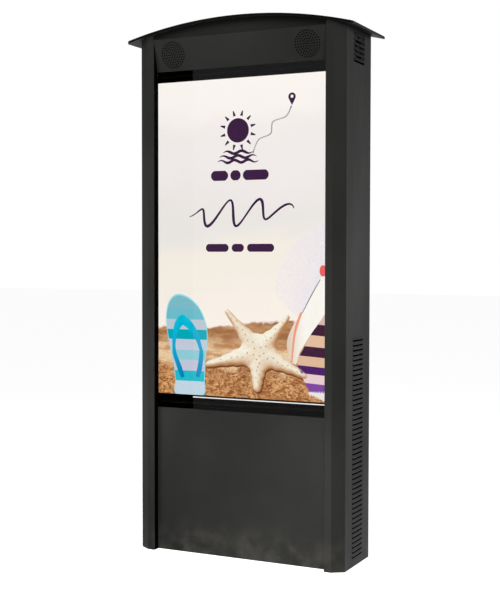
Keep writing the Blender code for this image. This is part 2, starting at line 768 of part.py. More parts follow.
def rear_door():
    origin = hinge_origin(0)
    skin_hole = cylinder("spindle_hole", (LOCK_X, DOOR_OUTER, LOCK_Z), "Y", 0.0085, 0.03)
    door = box(
        "rear_door",
        (-DOOR_HALF_WIDTH, DOOR_HALF_WIDTH),
        (DOOR_OUTER - DOOR_DEPTH, DOOR_OUTER),
        (DOOR_BOTTOM, DOOR_TOP),
        BLACK_PAINT,
        origin,
    )
    tray = box(
        "door_tray",
        (-DOOR_HALF_WIDTH + SHEET, DOOR_HALF_WIDTH - SHEET),
        (DOOR_OUTER - DOOR_DEPTH - 0.01, DOOR_INNER),
        (DOOR_BOTTOM + SHEET, DOOR_TOP - SHEET),
    )
    cut(door, tray, skin_hole)
    path = [
        (-0.045, DOOR_INNER - GAP - SHEET),
        (-0.025, DOOR_INNER - GAP - SHEET),
        (-0.025, DOOR_INNER - GAP - 0.018),
        (0.025, DOOR_INNER - GAP - 0.018),
        (0.025, DOOR_INNER - GAP - SHEET),
        (0.045, DOOR_INNER - GAP - SHEET),
    ]
    folded_sheet("door_stiffener", path, 0.100, 1.880, "Z", ZINC)

    seal = (BODY_DEPTH + GAP, DOOR_INNER - GAP)
    gasket = box("door_gasket", (-0.3950, 0.3950), seal, (0.0580, 1.9220), RUBBER)
    window = (seal[0] - 0.01, seal[1] + 0.01)
    cut(gasket, box("door_gasket_window", (-0.3830, 0.3830), window, (0.0700, 1.9100)))


def hinge(label, z):
    """A lift-off hinge: the lower knuckle and its pin stay on the cabinet, the upper one is the door's."""
    origin = hinge_origin(z)
    low = z - KNUCKLE_LENGTH
    middle = (HINGE_X, HINGE_DEPTH, z - KNUCKLE_LENGTH / 2)
    fixed = cylinder(f"hinge_frame_{label}", middle, "Z", HINGE_RADIUS, KNUCKLE_LENGTH, ZINC, origin)
    middle = (HINGE_X, HINGE_DEPTH, z + 0.012)
    pin = cylinder(f"hinge_pin_{label}", middle, "Z", PIN_RADIUS, 0.034, None, origin)
    leaf = (BODY_DEPTH + GAP, BODY_DEPTH + GAP + SHEET)
    join(fixed, box(f"frame_leaf_{label}", (-0.4290, HINGE_X + 0.002), leaf, (low, z - GAP)), pin)

    upper = (z + GAP, z + GAP + KNUCKLE_LENGTH)
    middle = (HINGE_X, HINGE_DEPTH, sum(upper) / 2)
    moving = cylinder(f"hinge_door_{label}", middle, "Z", HINGE_RADIUS, KNUCKLE_LENGTH, ZINC, origin)
    leaf = (DOOR_OUTER + GAP, DOOR_OUTER + GAP + SHEET)
    join(moving, box(f"door_leaf_{label}", (HINGE_X - 0.001, -0.370), leaf, upper))
    middle = (HINGE_X, HINGE_DEPTH, z + 0.014)
    cut(moving, cylinder(f"hinge_bore_{label}", middle, "Z", PIN_RADIUS + 0.0001, 0.034, None, origin, 32))


# Three-point lock ---------------------------------------------------------------------------------

def lock_rod(name, side, reach):
    """A flat bar with a cross slot for the crank pin.  Side is 1 for the rod that rises."""
    middle = LOCK_X + side * 0.0135
    slot_z = LOCK_Z - side * ROD_TRAVEL / 2
    depth = (ROD_DEPTH, ROD_DEPTH + ROD_THICKNESS)
    bar_z = sorted((slot_z - side * 0.0065, reach))
    rod = box(name, (middle - ROD_WIDTH / 2, middle + ROD_WIDTH / 2), depth, bar_z, ZINC)
    x = sorted((LOCK_X + side * 0.0025, LOCK_X + side * 0.0235))
    join(rod, box(f"{name}_foot", x, depth, (slot_z - 0.0065, slot_z + 0.0065)))
    slot_x = sorted((LOCK_X + side * 0.0060, LOCK_X + side * 0.0184))
    cut(rod, box(f"{name}_slot", slot_x, about(ROD_DEPTH, 0.01), about(slot_z, 0.0037)))


def three_point_lock():
    origin = (LOCK_X, FRONT_Y + DOOR_OUTER, LOCK_Z)
    case_depth = (DOOR_INNER - GAP - 0.0220, DOOR_INNER - GAP)
    case = box("lock_case", about(LOCK_X, 0.020), case_depth, about(LOCK_Z, 0.07), ZINC)
    cut(case, cylinder("case_bore", (LOCK_X, DOOR_INNER, LOCK_Z), "Y", 0.0075, 0.06))

    rose_depth = (DOOR_OUTER + GAP, DOOR_OUTER + GAP + 0.004)
    rose = box("lock_escutcheon", about(LOCK_X, 0.018), rose_depth, about(LOCK_Z, 0.055), STEEL)
    cut(rose, cylinder("rose_bore", (LOCK_X, DOOR_OUTER, LOCK_Z), "Y", 0.0075, 0.06))

    hub_start = rose_depth[1] + GAP
    bar_end = hub_start + 0.0200
    crank_back = ROD_DEPTH + ROD_THICKNESS + 0.0015
    middle = (LOCK_X, hub_start + 0.0060, LOCK_Z)
    handle = cylinder("lock_handle", middle, "Y", 0.0120, 0.0120, STEEL, origin)
    spindle_end = hub_start + 0.004
    middle = (LOCK_X, (crank_back + spindle_end) / 2, LOCK_Z)
    spindle = cylinder("spindle", middle, "Y", SPINDLE_RADIUS, spindle_end - crank_back, None, origin)
    grip_depth = (hub_start + GRIP_STANDOFF, bar_end)
    grip = box("grip", about(LOCK_X, 0.0080), grip_depth, about(LOCK_Z, 0.045), None, origin)
    join(handle, spindle, grip)
    cut(handle, cylinder("key_bore", (LOCK_X, bar_end, LOCK_Z), "Y", 0.0061, 0.020, None, origin, 32))

    plug = cylinder("key_cylinder", (LOCK_X, bar_end - 0.0050, LOCK_Z), "Y", 0.0060, 0.0096, STEEL, origin)
    key_slot = (bar_end - 0.003, bar_end + 0.01)
    cut(plug, box("key_slot", about(LOCK_X, 0.0007), key_slot, about(LOCK_Z, 0.004)))

    crank = (crank_back, crank_back + 0.005)
    cam = cylinder("lock_cam", (LOCK_X, sum(crank) / 2, LOCK_Z), "Y", 0.0190, 0.005, STEEL, origin, 32)
    cut(cam, cylinder("cam_bore", (LOCK_X, crank[0], LOCK_Z), "Y", SPINDLE_RADIUS + 0.0003, 0.02))
    for side in (1, -1):
        across = side * CRANK_RADIUS / math.sqrt(2)
        pin_centre = (LOCK_X + across, ROD_DEPTH + 0.0030, LOCK_Z - across)
        join(cam, cylinder(f"crank_pin_{side}", pin_centre, "Y", 0.0030, 0.0070, None, origin, 16))
    lock_rod("lock_rod_upper", 1, OPENING_TOP - 0.010)
    lock_rod("lock_rod_lower", -1, OPENING_BOTTOM + 0.010)


# The whole kiosk ----------------------------------------------------------------------------------

def build():
    cabinet_sheets()
    base_plate()
    chassis()
    display()
    for label, side in (("left", -1), ("right", 1)):
        loudspeaker(label, side)
        fan(label, side)
        filter_cassette(label, side)
    equipment()
    rear_door()
    for label, z in zip(("bottom", "middle", "top"), HINGE_HEIGHTS):
        hinge(label, z)
    three_point_lock()


build()
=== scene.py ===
"""The looks of the outdoor touchscreen kiosk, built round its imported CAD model.

Metres, +Z up, in the CAD model's frame.  A depth is measured back from the front faces of the two posts.
On the lit picture, u and v are millimetres from its lower left corner, and a layer is a printed film.
"""

import math

import bmesh
import bpy
from mathutils import Euler, Matrix, Vector


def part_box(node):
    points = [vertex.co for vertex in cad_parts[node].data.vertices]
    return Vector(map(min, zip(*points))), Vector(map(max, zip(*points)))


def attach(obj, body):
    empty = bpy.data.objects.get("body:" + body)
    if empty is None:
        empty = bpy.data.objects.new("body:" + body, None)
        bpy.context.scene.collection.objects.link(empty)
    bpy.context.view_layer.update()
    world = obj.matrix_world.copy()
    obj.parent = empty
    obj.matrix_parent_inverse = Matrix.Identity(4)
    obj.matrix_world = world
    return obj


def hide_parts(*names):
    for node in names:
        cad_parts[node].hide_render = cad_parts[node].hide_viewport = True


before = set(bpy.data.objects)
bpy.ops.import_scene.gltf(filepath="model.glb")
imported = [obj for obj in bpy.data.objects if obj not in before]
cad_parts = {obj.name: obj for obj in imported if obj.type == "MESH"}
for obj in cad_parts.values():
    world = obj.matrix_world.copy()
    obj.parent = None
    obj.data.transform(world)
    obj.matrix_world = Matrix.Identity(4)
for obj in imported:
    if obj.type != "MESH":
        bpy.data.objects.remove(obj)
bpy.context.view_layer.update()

# Sizes that the CAD model and this script share
GAP = 0.0003
SHEET = 0.0020
FOLD_RADIUS = 0.0030
POST_FACE_WIDTH = 0.0288
CHAMFER_DEPTH = 0.0286
REAR_FLANGE = 0.050
PANEL_FLANGE = 0.015
ROOF_RADIUS = 1.8036
ROOF_EDGE = 0.009
ROOF_SKIN = 0.003
ROOF_CORNER = 0.012
LOUVRE_PROUD = 0.0050
LOUVRE_HEIGHT = 0.0112
LOUVRE_PITCH = 0.01835
LOUVRE_FRONT = 0.0985
LOUVRE_REAR = 0.2065
LOW_LOUVRES = (0.0380, 45, 0.32, 0.0068)
HIGH_LOUVRES = (1.8720, 6, 1.0, 0.0062)
PERFORATION_RINGS = 5
PERFORATION_PITCH = 0.0096
PICTURE_MARGIN = 0.012
MM = 0.001

# Places read from the CAD model
SIDE_LOW, SIDE_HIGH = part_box("side_panel_right")
ROOF_LOW, ROOF_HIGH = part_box("roof_canopy")
GLASS_LOW, GLASS_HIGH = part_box("touch_glass")
MODULE_LOW, MODULE_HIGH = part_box("display_module")
SPEAKER_LOW, SPEAKER_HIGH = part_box("speaker_panel")
FRONT_Y = SIDE_LOW.y
RECESS = GLASS_LOW.y - FRONT_Y
BODY_DEPTH = SIDE_HIGH.y - FRONT_Y
BODY_HALF = SIDE_HIGH.x - LOUVRE_PROUD
OPENING_HALF = SIDE_LOW.x
ROOF_CENTRE_Z = ROOF_HIGH.z - ROOF_RADIUS
PICTURE_BOTTOM = MODULE_LOW.z + PICTURE_MARGIN
PICTURE_TOP = MODULE_HIGH.z - PICTURE_MARGIN
SPEAKER_TOP = SPEAKER_HIGH.z
SPEAKER_BOTTOM = SPEAKER_LOW.z
SPEAKER_TILT = math.atan2(RECESS, SPEAKER_TOP + GAP - SPEAKER_BOTTOM)
SPEAKER_X = sum(corner.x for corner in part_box("speaker_basket_right")) / 2

# Skins and films that only this script makes
PANEL_SKIN = 0.0015
HOLE_RADIUS = 0.0034
LAYER_STEP = 0.00012
BACK_LAYER_Y = GLASS_HIGH.y + 0.0014
# Where the thin bright line below the picture lies: a painted highlight.
LIGHT_LINE_LEFT = -0.204
LIGHT_LINE_Z = 0.6087
LIGHT_LINE_HEIGHT = 0.0040

TURNS = {
    "X": Euler((0, math.pi / 2, 0)).to_matrix().to_4x4(),
    "-X": Euler((0, -math.pi / 2, 0)).to_matrix().to_4x4(),
    "Y": Euler((math.pi / 2, 0, 0)).to_matrix().to_4x4(),
    "-Y": Euler((-math.pi / 2, 0, 0)).to_matrix().to_4x4(),
    "Z": Matrix.Identity(4),
}


# Materials ----------------------------------------------------------------------------------------

def srgb(red, green, blue):
    """A colour from 0 to 255 as linear values with alpha."""
    def linear(value):
        value /= 255
        return value / 12.92 if value <= 0.04045 else ((value + 0.055) / 1.055) ** 2.4

    return (linear(red), linear(green), linear(blue), 1.0)


class Look:
    """A node material under construction: each method adds a node and returns its output."""

    def __init__(self, name, roughness, metallic=0.0, **sockets):
        self.material = bpy.data.materials.new(name)
        self.material.use_nodes = True
        self.tree = self.material.node_tree
        self.shader = self.tree.nodes["Principled BSDF"]
        self.set("Roughness", roughness)
        self.set("Metallic", metallic)
        for socket, value in sockets.items():
            self.set(socket.replace("_", " "), value)
        self.place = self.add("ShaderNodeTexCoord").outputs["Object"]

    def add(self, kind, links=(), **settings):
        made = self.tree.nodes.new(kind)
        for key, value in settings.items():
            setattr(made, key, value)
        for socket, value in links:
            if isinstance(value, bpy.types.NodeSocket):
                self.tree.links.new(value, made.inputs[socket])
            else:
                made.inputs[socket].default_value = value
        return made

    def set(self, socket, value):
        if isinstance(value, bpy.types.NodeSocket):
            self.tree.links.new(value, self.shader.inputs[socket])
        else:
            self.shader.inputs[socket].default_value = value

    def stretched(self, scale, turn=(0, 0, 0)):
        return self.add(
            "ShaderNodeMapping", [("Vector", self.place), ("Scale", scale), ("Rotation", turn)]
        ).outputs[0]

    def noise(self, scale, detail=3.0, place=None, distortion=0.0, rough=0.5):
        links = [("Vector", place or self.place), ("Scale", scale), ("Detail", detail)]
        links += [("Distortion", distortion), ("Roughness", rough)]
        return self.add("ShaderNodeTexNoise", links).outputs["Fac"]

    def cells(self, scale, place=None, feature="F1"):
        links = [("Vector", place or self.place), ("Scale", scale)]
        return self.add("ShaderNodeTexVoronoi", links, feature=feature).outputs["Distance"]

    def bands(self, scale, direction, place=None):
        links = [("Vector", place or self.place), ("Scale", scale)]
        return self.add("ShaderNodeTexWave", links, bands_direction=direction).outputs["Fac"]

    def span(self, value, low, high, to_low=0.0, to_high=1.0):
        links = [
            ("Value", value), ("From Min", low), ("From Max", high), ("To Min", to_low), ("To Max", to_high)
        ]
        return self.add("ShaderNodeMapRange", links, interpolation_type="SMOOTHSTEP").outputs[0]

    def maths(self, operation, first, second):
        return self.add("ShaderNodeMath", [(0, first), (1, second)], operation=operation).outputs[0]

    def mix(self, share, first, second, blend="MIX"):
        links = [("Factor", share), (6, first), (7, second)]
        return self.add("ShaderNodeMix", links, data_type="RGBA", blend_type=blend).outputs[2]

    def axis(self, name):
        return self.add("ShaderNodeSeparateXYZ", [("Vector", self.place)]).outputs[name]

    def bump(self, height, distance, strength=1.0):
        links = [("Height", height), ("Distance", distance), ("Strength", strength)]
        self.set("Normal", self.add("ShaderNodeBump", links).outputs[0])


def arc_shade(look):
    """How far painted shade darkens the paint under the canopy, from 0 well below its arc to most of the way
    at it.
    """
    height = look.maths("SUBTRACT", look.axis("Z"), ROOF_CENTRE_Z)
    across = look.axis("X")
    squares = look.maths(
        "ADD", look.maths("MULTIPLY", height, height), look.maths("MULTIPLY", across, across)
    )
    below = look.maths("SUBTRACT", ROOF_RADIUS, look.maths("SQRT", squares, 0.0))
    return look.span(below, 0.012, 0.050, 0.85, 0.0)


def powder_coat(name, dark, light, roughness, shine=0.40, shaded_arc=False):
    """Fine-textured paint with a little cloudiness, dust that settles low down, and dull scuffs; with
    shaded_arc, painted shade under the canopy's arc.
    """
    look = Look(name, roughness, Specular_IOR_Level=shine)
    cloud = look.noise(2.3, 4.0)
    speckle = look.noise(700, 2.0)
    tone = look.mix(look.span(cloud, 0.35, 0.65), dark, light)
    grit = look.mix(look.span(speckle, 0.60, 0.80, 0.0, 0.35), tone, srgb(70, 69, 66))
    low = look.span(look.axis("Z"), 0.0, 0.16, 1.0, 0.0)
    dust = look.maths("MULTIPLY", low, look.span(look.noise(18, 5.0), 0.35, 0.75, 0.0, 0.30))
    dust_and_shade = look.mix(dust, grit, srgb(96, 92, 84))
    # Painted shade: the coat darkens towards near-black under the canopy's arc.
    if shaded_arc:
        dust_and_shade = look.mix(arc_shade(look), dust_and_shade, srgb(9, 9, 9))
    look.set("Base Color", dust_and_shade)
    scuff = look.noise(5.0, 6.0, look.stretched((1.0, 1.0, 0.25)), rough=0.62)
    look.set("Roughness", look.span(scuff, 0.30, 0.75, roughness - 0.05, roughness + 0.08))
    grain = look.maths("ADD", look.noise(1100, 2.0), look.maths("MULTIPLY", look.noise(260, 1.0), 0.5))
    look.bump(grain, 0.00012, 0.35)
    return look.material


def matt_black_and_shade():
    """Matt black with fine fibres: painted shade on the walls beside the screen and in holes, and the black
    of cloth and screens.
    """
    look = Look("matt_black_and_painted_shade", 0.95, Specular_IOR_Level=0.02)
    fibre = look.noise(900, 3.0)
    look.set("Base Color", look.mix(fibre, (0.0008, 0.0008, 0.0008, 1), (0.0030, 0.0030, 0.0032, 1)))
    look.bump(fibre, 0.0002, 0.5)
    return look.material


def zinc():
    """Zinc plate with its cloudy blue and straw tints."""
    look = Look("zinc_plated_steel", 0.36, 1.0)
    spangle = look.cells(120, feature="SMOOTH_F1")
    tint = look.mix(look.noise(7, 4.0), srgb(196, 200, 204), srgb(212, 207, 190))
    look.set("Base Color", look.mix(look.span(spangle, 0.1, 0.8, 0.0, 0.7), tint, srgb(180, 184, 188)))
    look.set("Roughness", look.span(look.noise(38, 5.0), 0.3, 0.7, 0.28, 0.46))
    look.bump(look.noise(420, 3.0), 0.00008, 0.4)
    return look.material


def steel():
    """Stainless steel brushed along its length."""
    look = Look("brushed_steel", 0.28, 1.0)
    brush = look.noise(60, 6.0, look.stretched((40, 40, 1)), rough=0.7)
    look.set("Base Color", look.mix(brush, srgb(186, 187, 190), srgb(216, 216, 218)))
    look.set("Roughness", look.span(brush, 0.3, 0.7, 0.22, 0.38))
    look.bump(brush, 0.00005, 0.5)
    return look.material


def glass():
    look = Look("front_glass", 0.015, Transmission_Weight=1.0, IOR=1.5)
    smear = look.noise(9, 6.0, look.stretched((1.0, 1.0, 0.4)), distortion=1.2)
    look.set("Roughness", look.span(smear, 0.50, 0.80, 0.012, 0.045))
    look.set("Base Color", look.mix(smear, (0.97, 0.985, 0.98, 1), (0.985, 0.99, 0.99, 1)))
    return look.material


def border_print():
    look = Look("border_print", 0.6, Specular_IOR_Level=0.0)
    look.set(
        "Base Color",
        look.mix(look.noise(160, 2.0), (0.0010, 0.0010, 0.0011, 1), (0.0022, 0.0022, 0.0023, 1))
    )
    return look.material


def rubber():
    look = Look("sponge_rubber", 0.85, Specular_IOR_Level=0.25)
    pores = look.cells(900)
    look.set("Base Color", look.mix(look.noise(30, 3.0), srgb(26, 26, 26), srgb(46, 45, 43)))
    look.bump(pores, 0.0003, 0.6)
    return look.material


def moulded(name, dark, light, roughness, grain=0.00006):
    """Plastic with a spark-eroded texture and faint flow marks."""
    look = Look(name, roughness)
    flow = look.noise(22, 4.0, look.stretched((1, 1, 0.3)), distortion=0.8)
    look.set("Base Color", look.mix(look.span(flow, 0.3, 0.7), dark, light))
    look.set("Roughness", look.span(look.noise(70, 4.0), 0.3, 0.7, roughness - 0.06, roughness + 0.08))
    look.bump(look.noise(1300, 2.0), grain, 0.6)
    return look.material


def solder_mask():
    """Green board with copper tracks under the mask and tinned pads."""
    look = Look("circuit_board", 0.32)
    tracks = look.bands(95, "X", look.stretched((1, 1, 1), (0, math.radians(45), 0)))
    groups = look.span(look.noise(45, 2.0), 0.50, 0.54)
    copper = look.maths("MULTIPLY", look.span(tracks, 0.55, 0.62), groups)
    base = look.mix(copper, srgb(10, 74, 42), srgb(30, 118, 66))
    pads = look.span(look.cells(260), 0.10, 0.16, 1.0, 0.0)
    look.set("Base Color", look.mix(pads, base, srgb(206, 204, 196)))
    look.set("Metallic", pads)
    look.bump(look.maths("ADD", copper, pads), 0.0001, 0.7)
    return look.material


def pressed_paper():
    look = Look("speaker_cone", 0.80)
    fibre = look.noise(240, 5.0, distortion=1.0)
    look.set("Base Color", look.mix(fibre, srgb(24, 24, 26), srgb(62, 61, 60)))
    look.bump(fibre, 0.0003, 0.5)
    return look.material


def fleece():
    """Pleated filter fleece, darker in the folds of the pleats: painted shade."""
    look = Look("filter_fleece", 0.95, Specular_IOR_Level=0.2)
    fibre = look.noise(320, 6.0, distortion=2.5)
    pleat = look.bands(38, "Z")
    tone = look.mix(fibre, srgb(120, 122, 120), srgb(190, 192, 188))
    # The folds of the pleats are darkened: painted shade.
    look.set("Base Color", look.mix(look.span(pleat, 0.0, 0.35, 0.5, 0.0), tone, srgb(70, 70, 68)))
    look.bump(look.maths("ADD", fibre, look.maths("MULTIPLY", pleat, 3.0)), 0.0008, 0.7)
    return look.material


def lit(name, colour, look=None):
    """A film of the lit picture: its colour is light that it gives off."""
    look = look or Look(name, 0.5, Specular_IOR_Level=0.0)
    look.shader.inputs["Base Color"].default_value = (0, 0, 0, 1)
    look.set("Emission Color", colour)
    look.set("Emission Strength", 1.07)
    return look.material


def printed(name, scale, depth, feature="noise"):
    """A film whose colour is the mesh's own tint with a fine grain over it."""
    look = Look(name, 0.5, Specular_IOR_Level=0.0)
    tint = look.add("ShaderNodeAttribute", attribute_name="tint").outputs["Color"]
    grain = look.cells(scale) if feature == "cells" else look.noise(scale, 4.0, rough=0.65)
    shade = look.mix(
        look.span(grain, 0.2, 0.8), (1 - depth, 1 - depth * 1.2, 1 - depth * 1.6, 1), (1, 1, 1, 1)
    )
    return lit(name, look.mix(1.0, tint, shade, "MULTIPLY"), look)


def beach():
    """Hazy sky over rippled sand that grows coarse in the foreground."""
    name = "picture_beach"
    look = Look(name, 0.5, Specular_IOR_Level=0.0)
    height = look.maths("SUBTRACT", look.axis("Z"), PICTURE_BOTTOM)
    haze = look.noise(2.6, 3.0, look.stretched((1.0, 1.0, 2.4)))
    wavy = look.maths("ADD", height, look.span(haze, 0.3, 0.7, -0.05, 0.05))
    sky = look.mix(look.span(wavy, 0.95, 1.15), srgb(243, 236, 234), srgb(253, 246, 241))
    sky = look.mix(look.span(wavy, 0.66, 0.90), srgb(236, 231, 227), sky)
    sky = look.mix(look.span(wavy, 0.52, 0.68), srgb(246, 238, 227), sky)
    sky = look.mix(look.span(wavy, 0.28, 0.50), srgb(252, 241, 232), sky)

    ripple = look.noise(9.0, 5.0, look.stretched((1.0, 1.0, 3.4)), rough=0.6)
    far = look.mix(look.span(ripple, 0.38, 0.62), srgb(168, 112, 68), srgb(206, 160, 112))
    middle = look.mix(look.span(ripple, 0.36, 0.58), srgb(206, 150, 98), srgb(246, 216, 176))
    coarse = look.noise(52.0, 7.0, look.stretched((1.0, 1.0, 1.7)), distortion=1.1, rough=0.72)
    clods = look.noise(15.0, 3.0, look.stretched((1.0, 1.0, 1.4)), distortion=0.5)
    near = look.mix(look.span(coarse, 0.40, 0.60), srgb(146, 82, 38), srgb(240, 188, 128))
    near = look.mix(look.span(coarse, 0.30, 0.40, 0.8, 0.0), near, srgb(98, 50, 20))
    near = look.mix(look.span(clods, 0.35, 0.62, 0.40, 0.0), near, srgb(156, 92, 46))
    sand = look.mix(look.span(height, 0.175, 0.235), middle, far)
    mound = look.maths("ADD", height, look.span(clods, 0.3, 0.7, -0.03, 0.03))
    sand = look.mix(look.span(mound, 0.095, 0.150), near, sand)
    speckle = look.span(look.noise(150, 5.0, rough=0.7), 0.35, 0.65, 0.0, 0.34)
    sand = look.mix(speckle, sand, srgb(176, 122, 74), "MULTIPLY")
    across = look.maths("ADD", look.axis("X"), OPENING_HALF)
    skyline = look.maths(
        "ADD", look.span(across, 0.10, 0.62, 0.258, 0.296),
        look.span(look.noise(26, 3.0), 0.3, 0.7, -0.006, 0.006)
    )
    above = look.span(look.maths("SUBTRACT", height, skyline), -0.006, 0.006)
    return lit(name, look.mix(above, sand, sky), look)


def straw():
    """Woven hat straw: rows of fine dots on cream that turns lavender at the right."""
    name = "picture_straw"
    look = Look(name, 0.5, Specular_IOR_Level=0.0)
    weave = look.cells(150, look.stretched((1, 1, 1), (0, math.radians(28), 0)))
    tone = look.mix(look.span(look.axis("X"), 0.15, 0.34), srgb(252, 243, 237), srgb(238, 233, 242))
    tone = look.mix(look.span(look.noise(5, 2.0), 0.35, 0.65, 0.0, 0.6), tone, srgb(250, 240, 236))
    return lit(name, look.mix(look.span(weave, 0.25, 0.6, 0.0, 0.20), tone, srgb(204, 198, 212)), look)


PAINT = powder_coat("black_powder_coat", srgb(35, 35, 34), srgb(42, 42, 40), 0.46)
# The fascia and the canopy's rim are the same paint in shadow, given as darker coats.
FASCIA_SHADED_PAINT = powder_coat(
    "fascia_shaded_powder_coat", srgb(27, 27, 26), srgb(33, 33, 32), 0.52, 0.30, shaded_arc=True
)
RIM_SHADED_PAINT = powder_coat("canopy_rim_shaded_paint", srgb(11, 11, 11), srgb(15, 15, 14), 0.70, 0.08)
MATT_BLACK_AND_SHADE = matt_black_and_shade()
ZINC = zinc()
STEEL = steel()
GLASS = glass()
BORDER = border_print()
RUBBER = rubber()
DARK_PLASTIC = moulded("dark_plastic", srgb(28, 28, 29), srgb(40, 40, 41), 0.48)
GREY_PLASTIC = moulded("grey_plastic", srgb(186, 188, 188), srgb(204, 205, 203), 0.46)
RED_PLASTIC = moulded("red_plastic", srgb(176, 26, 20), srgb(206, 38, 28), 0.36)
BOARD = solder_mask()
CONE = pressed_paper()
FLEECE = fleece()
CONTACT = moulded("white_plastic", srgb(210, 209, 204), srgb(228, 227, 222), 0.40)
GREEN = moulded("green_window", srgb(24, 128, 62), srgb(40, 150, 78), 0.25)
SLOT_LOOKS = {
    "black_powder_coat": PAINT,
    "zinc_steel": ZINC,
    "bright_steel": STEEL,
    "front_glass": GLASS,
    "rubber": RUBBER,
    "display": DARK_PLASTIC,
    "dark_plastic": DARK_PLASTIC,
    "grey_plastic": GREY_PLASTIC,
    "red_plastic": RED_PLASTIC,
    "circuit_board": BOARD,
    "speaker_cone": CONE,
    "filter_mat": FLEECE,
}


# Mesh helpers -------------------------------------------------------------------------------------

def finished(name, mesh, body, looks, replaces=()):
    """An object of the mesh that rides on a body, has the looks and stands for the CAD nodes."""
    made = bpy.data.objects.new(name, mesh)
    bpy.context.scene.collection.objects.link(made)
    for look in looks:
        mesh.materials.append(look)
    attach(made, body)
    if replaces:
        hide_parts(*replaces)
    return made


def soften(made, width, segments=3, weld=False):
    """Rounded edges, with normals that keep the flat faces flat."""
    if weld:
        made.modifiers.new("weld", "WELD").merge_threshold = 0.00001
    if width:
        bevel = made.modifiers.new("edges", "BEVEL")
        bevel.width = width
        bevel.segments = segments
        bevel.limit_method = "ANGLE"
        bevel.angle_limit = math.radians(40)
        bevel.use_clamp_overlap = True
    even = made.modifiers.new("even_normals", "WEIGHTED_NORMAL")
    even.keep_sharp = True


def smooth_shaded(mesh, angle=35):
    mesh.shade_smooth()
    mesh.set_sharp_from_angle(angle=math.radians(angle))


def rounded(path, radius, steps=6):
    """The path with each inner corner replaced by an arc of the radius."""
    result = [Vector(path[0])]
    for before, corner, after in zip(path, path[1:], path[2:]):
        corner = Vector(corner)
        back = (Vector(before) - corner).normalized()
        ahead = (Vector(after) - corner).normalized()
        half = back.angle(ahead) / 2
        centre = corner + (back + ahead).normalized() * radius / math.sin(half)
        start = corner + back * radius / math.tan(half) - centre
        end = corner + ahead * radius / math.tan(half) - centre
        turn = start.angle_signed(end)
        for step in range(steps + 1):
            result.append(centre + Matrix.Rotation(-turn * step / steps, 2) @ start)
    result.append(Vector(path[-1]))
    return result


def smooth_line(points, steps=6, closed=False):
    """A Catmull-Rom curve through the points."""
    points = [Vector(point) for point in points]
    count = len(points)
    spans = count if closed else count - 1
    result = []
    for i in range(spans):
        if closed:
            a, b, c, d = (points[(i + k) % count] for k in (-1, 0, 1, 2))
        else:
            a, b, c, d = (points[min(max(i + k, 0), count - 1)] for k in (-1, 0, 1, 2))
        for step in range(steps):
            t = step / steps
            result.append(
                0.5 * (
                    2 * b + (c - a) * t + (2 * a - 5 * b + 4 * c - d) * t**2 + (3 * b - a - 3 * c + d) * t**3
                )
            )
    if not closed:
        result.append(points[-1])
    return result


def roof_height(x, drop):
    """The height of the canopy's arc at x, this far below its top surface."""
    return ROOF_CENTRE_Z + math.sqrt((ROOF_RADIUS - drop) ** 2 - x * x)


class Shape:
    """A mesh gathered from simple solids, each with the number of its look."""

    def __init__(self):
        self.bm = bmesh.new()

    def take(self, bm, matrix, look):
        bmesh.ops.transform(bm, matrix=matrix, verts=bm.verts)
        for face in bm.faces:
            face.material_index = look
        mesh = bpy.data.meshes.new("piece")
        bm.to_mesh(mesh)
        bm.free()
        self.bm.from_mesh(mesh)
        bpy.data.meshes.remove(mesh)

    def box(self, low, high, look=0, edge=0.0006, turn=None):
        low, high = Vector(low), Vector(high)
        bm = bmesh.new()
        bmesh.ops.create_cube(bm, size=1, matrix=Matrix.Diagonal((*(high - low), 1)))
        if edge:
            bmesh.ops.bevel(bm, geom=bm.edges, offset=edge, segments=2, profile=0.5, affect="EDGES")
        self.take(bm, Matrix.Translation((low + high) / 2) @ (turn or Matrix.Identity(4)), look)

    def turned(self, centre, axis, profile, look=0, steps=24, turn=0.0):
        """A profile of (radius, height) points, from the top down, turned about an axis."""
        bm = bmesh.new()
        rings = []
        for radius, height in profile:
            if radius < 1e-7:
                rings.append([bm.verts.new((0, 0, height))])
                continue
            angles = [2 * math.pi * step / steps + turn for step in range(steps)]
            rings.append([bm.verts.new((radius * math.cos(a), radius * math.sin(a), height)) for a in angles])
        for upper, lower in zip(rings, rings[1:]):
            for step in range(steps):
                after = (step + 1) % steps
                corners = [upper[step % len(upper)], lower[step % len(lower)]]
                corners += [lower[after % len(lower)], upper[after % len(upper)]]
                bm.faces.new(list(dict.fromkeys(corners)))
        for ring in (rings[0], rings[-1]):
            if len(ring) > 1:
                bm.faces.new(ring)
        bmesh.ops.recalc_face_normals(bm, faces=bm.faces)
        self.take(bm, Matrix.Translation(centre) @ TURNS[axis], look)

    def bar(self, centre, axis, radius, length, look=0, edge=0.0005, steps=24):
        """A round bar centred on a point, with rounded rims."""
        half = length / 2
        profile = [(radius - edge, half), (radius - edge * 0.3, half - edge * 0.3), (radius, half - edge)]
        profile += [(r, -h) for r, h in reversed(profile)]
        self.turned(centre, axis, profile, look, steps)

    def screw(self, seat, axis, radius, look=0):
        """A pan-head screw with a six-sided socket, seated at a point."""
        head = radius * 0.62
        profile = [(radius * 0.001, head * 0.45), (radius * 0.48, head * 0.45), (radius * 0.50, head)]
        profile += [(radius * 0.72, head * 0.93), (radius * 0.93, head * 0.60), (radius, 0.0)]
        profile += [(radius * 0.5, 0.0), (radius * 0.5, -radius * 0.8)]
        self.turned(seat, axis, profile, look, 12)

    def named(self, name, body, slot, looks, replaces=(), edge=0.0):
        mesh = bpy.data.meshes.new(name)
        self.bm.to_mesh(mesh)
        self.bm.free()
        smooth_shaded(mesh)
        made = finished(name, mesh, body, looks, replaces)
        soften(made, edge)
        return made


# Cabinet skins ------------------------------------------------------------------------------------

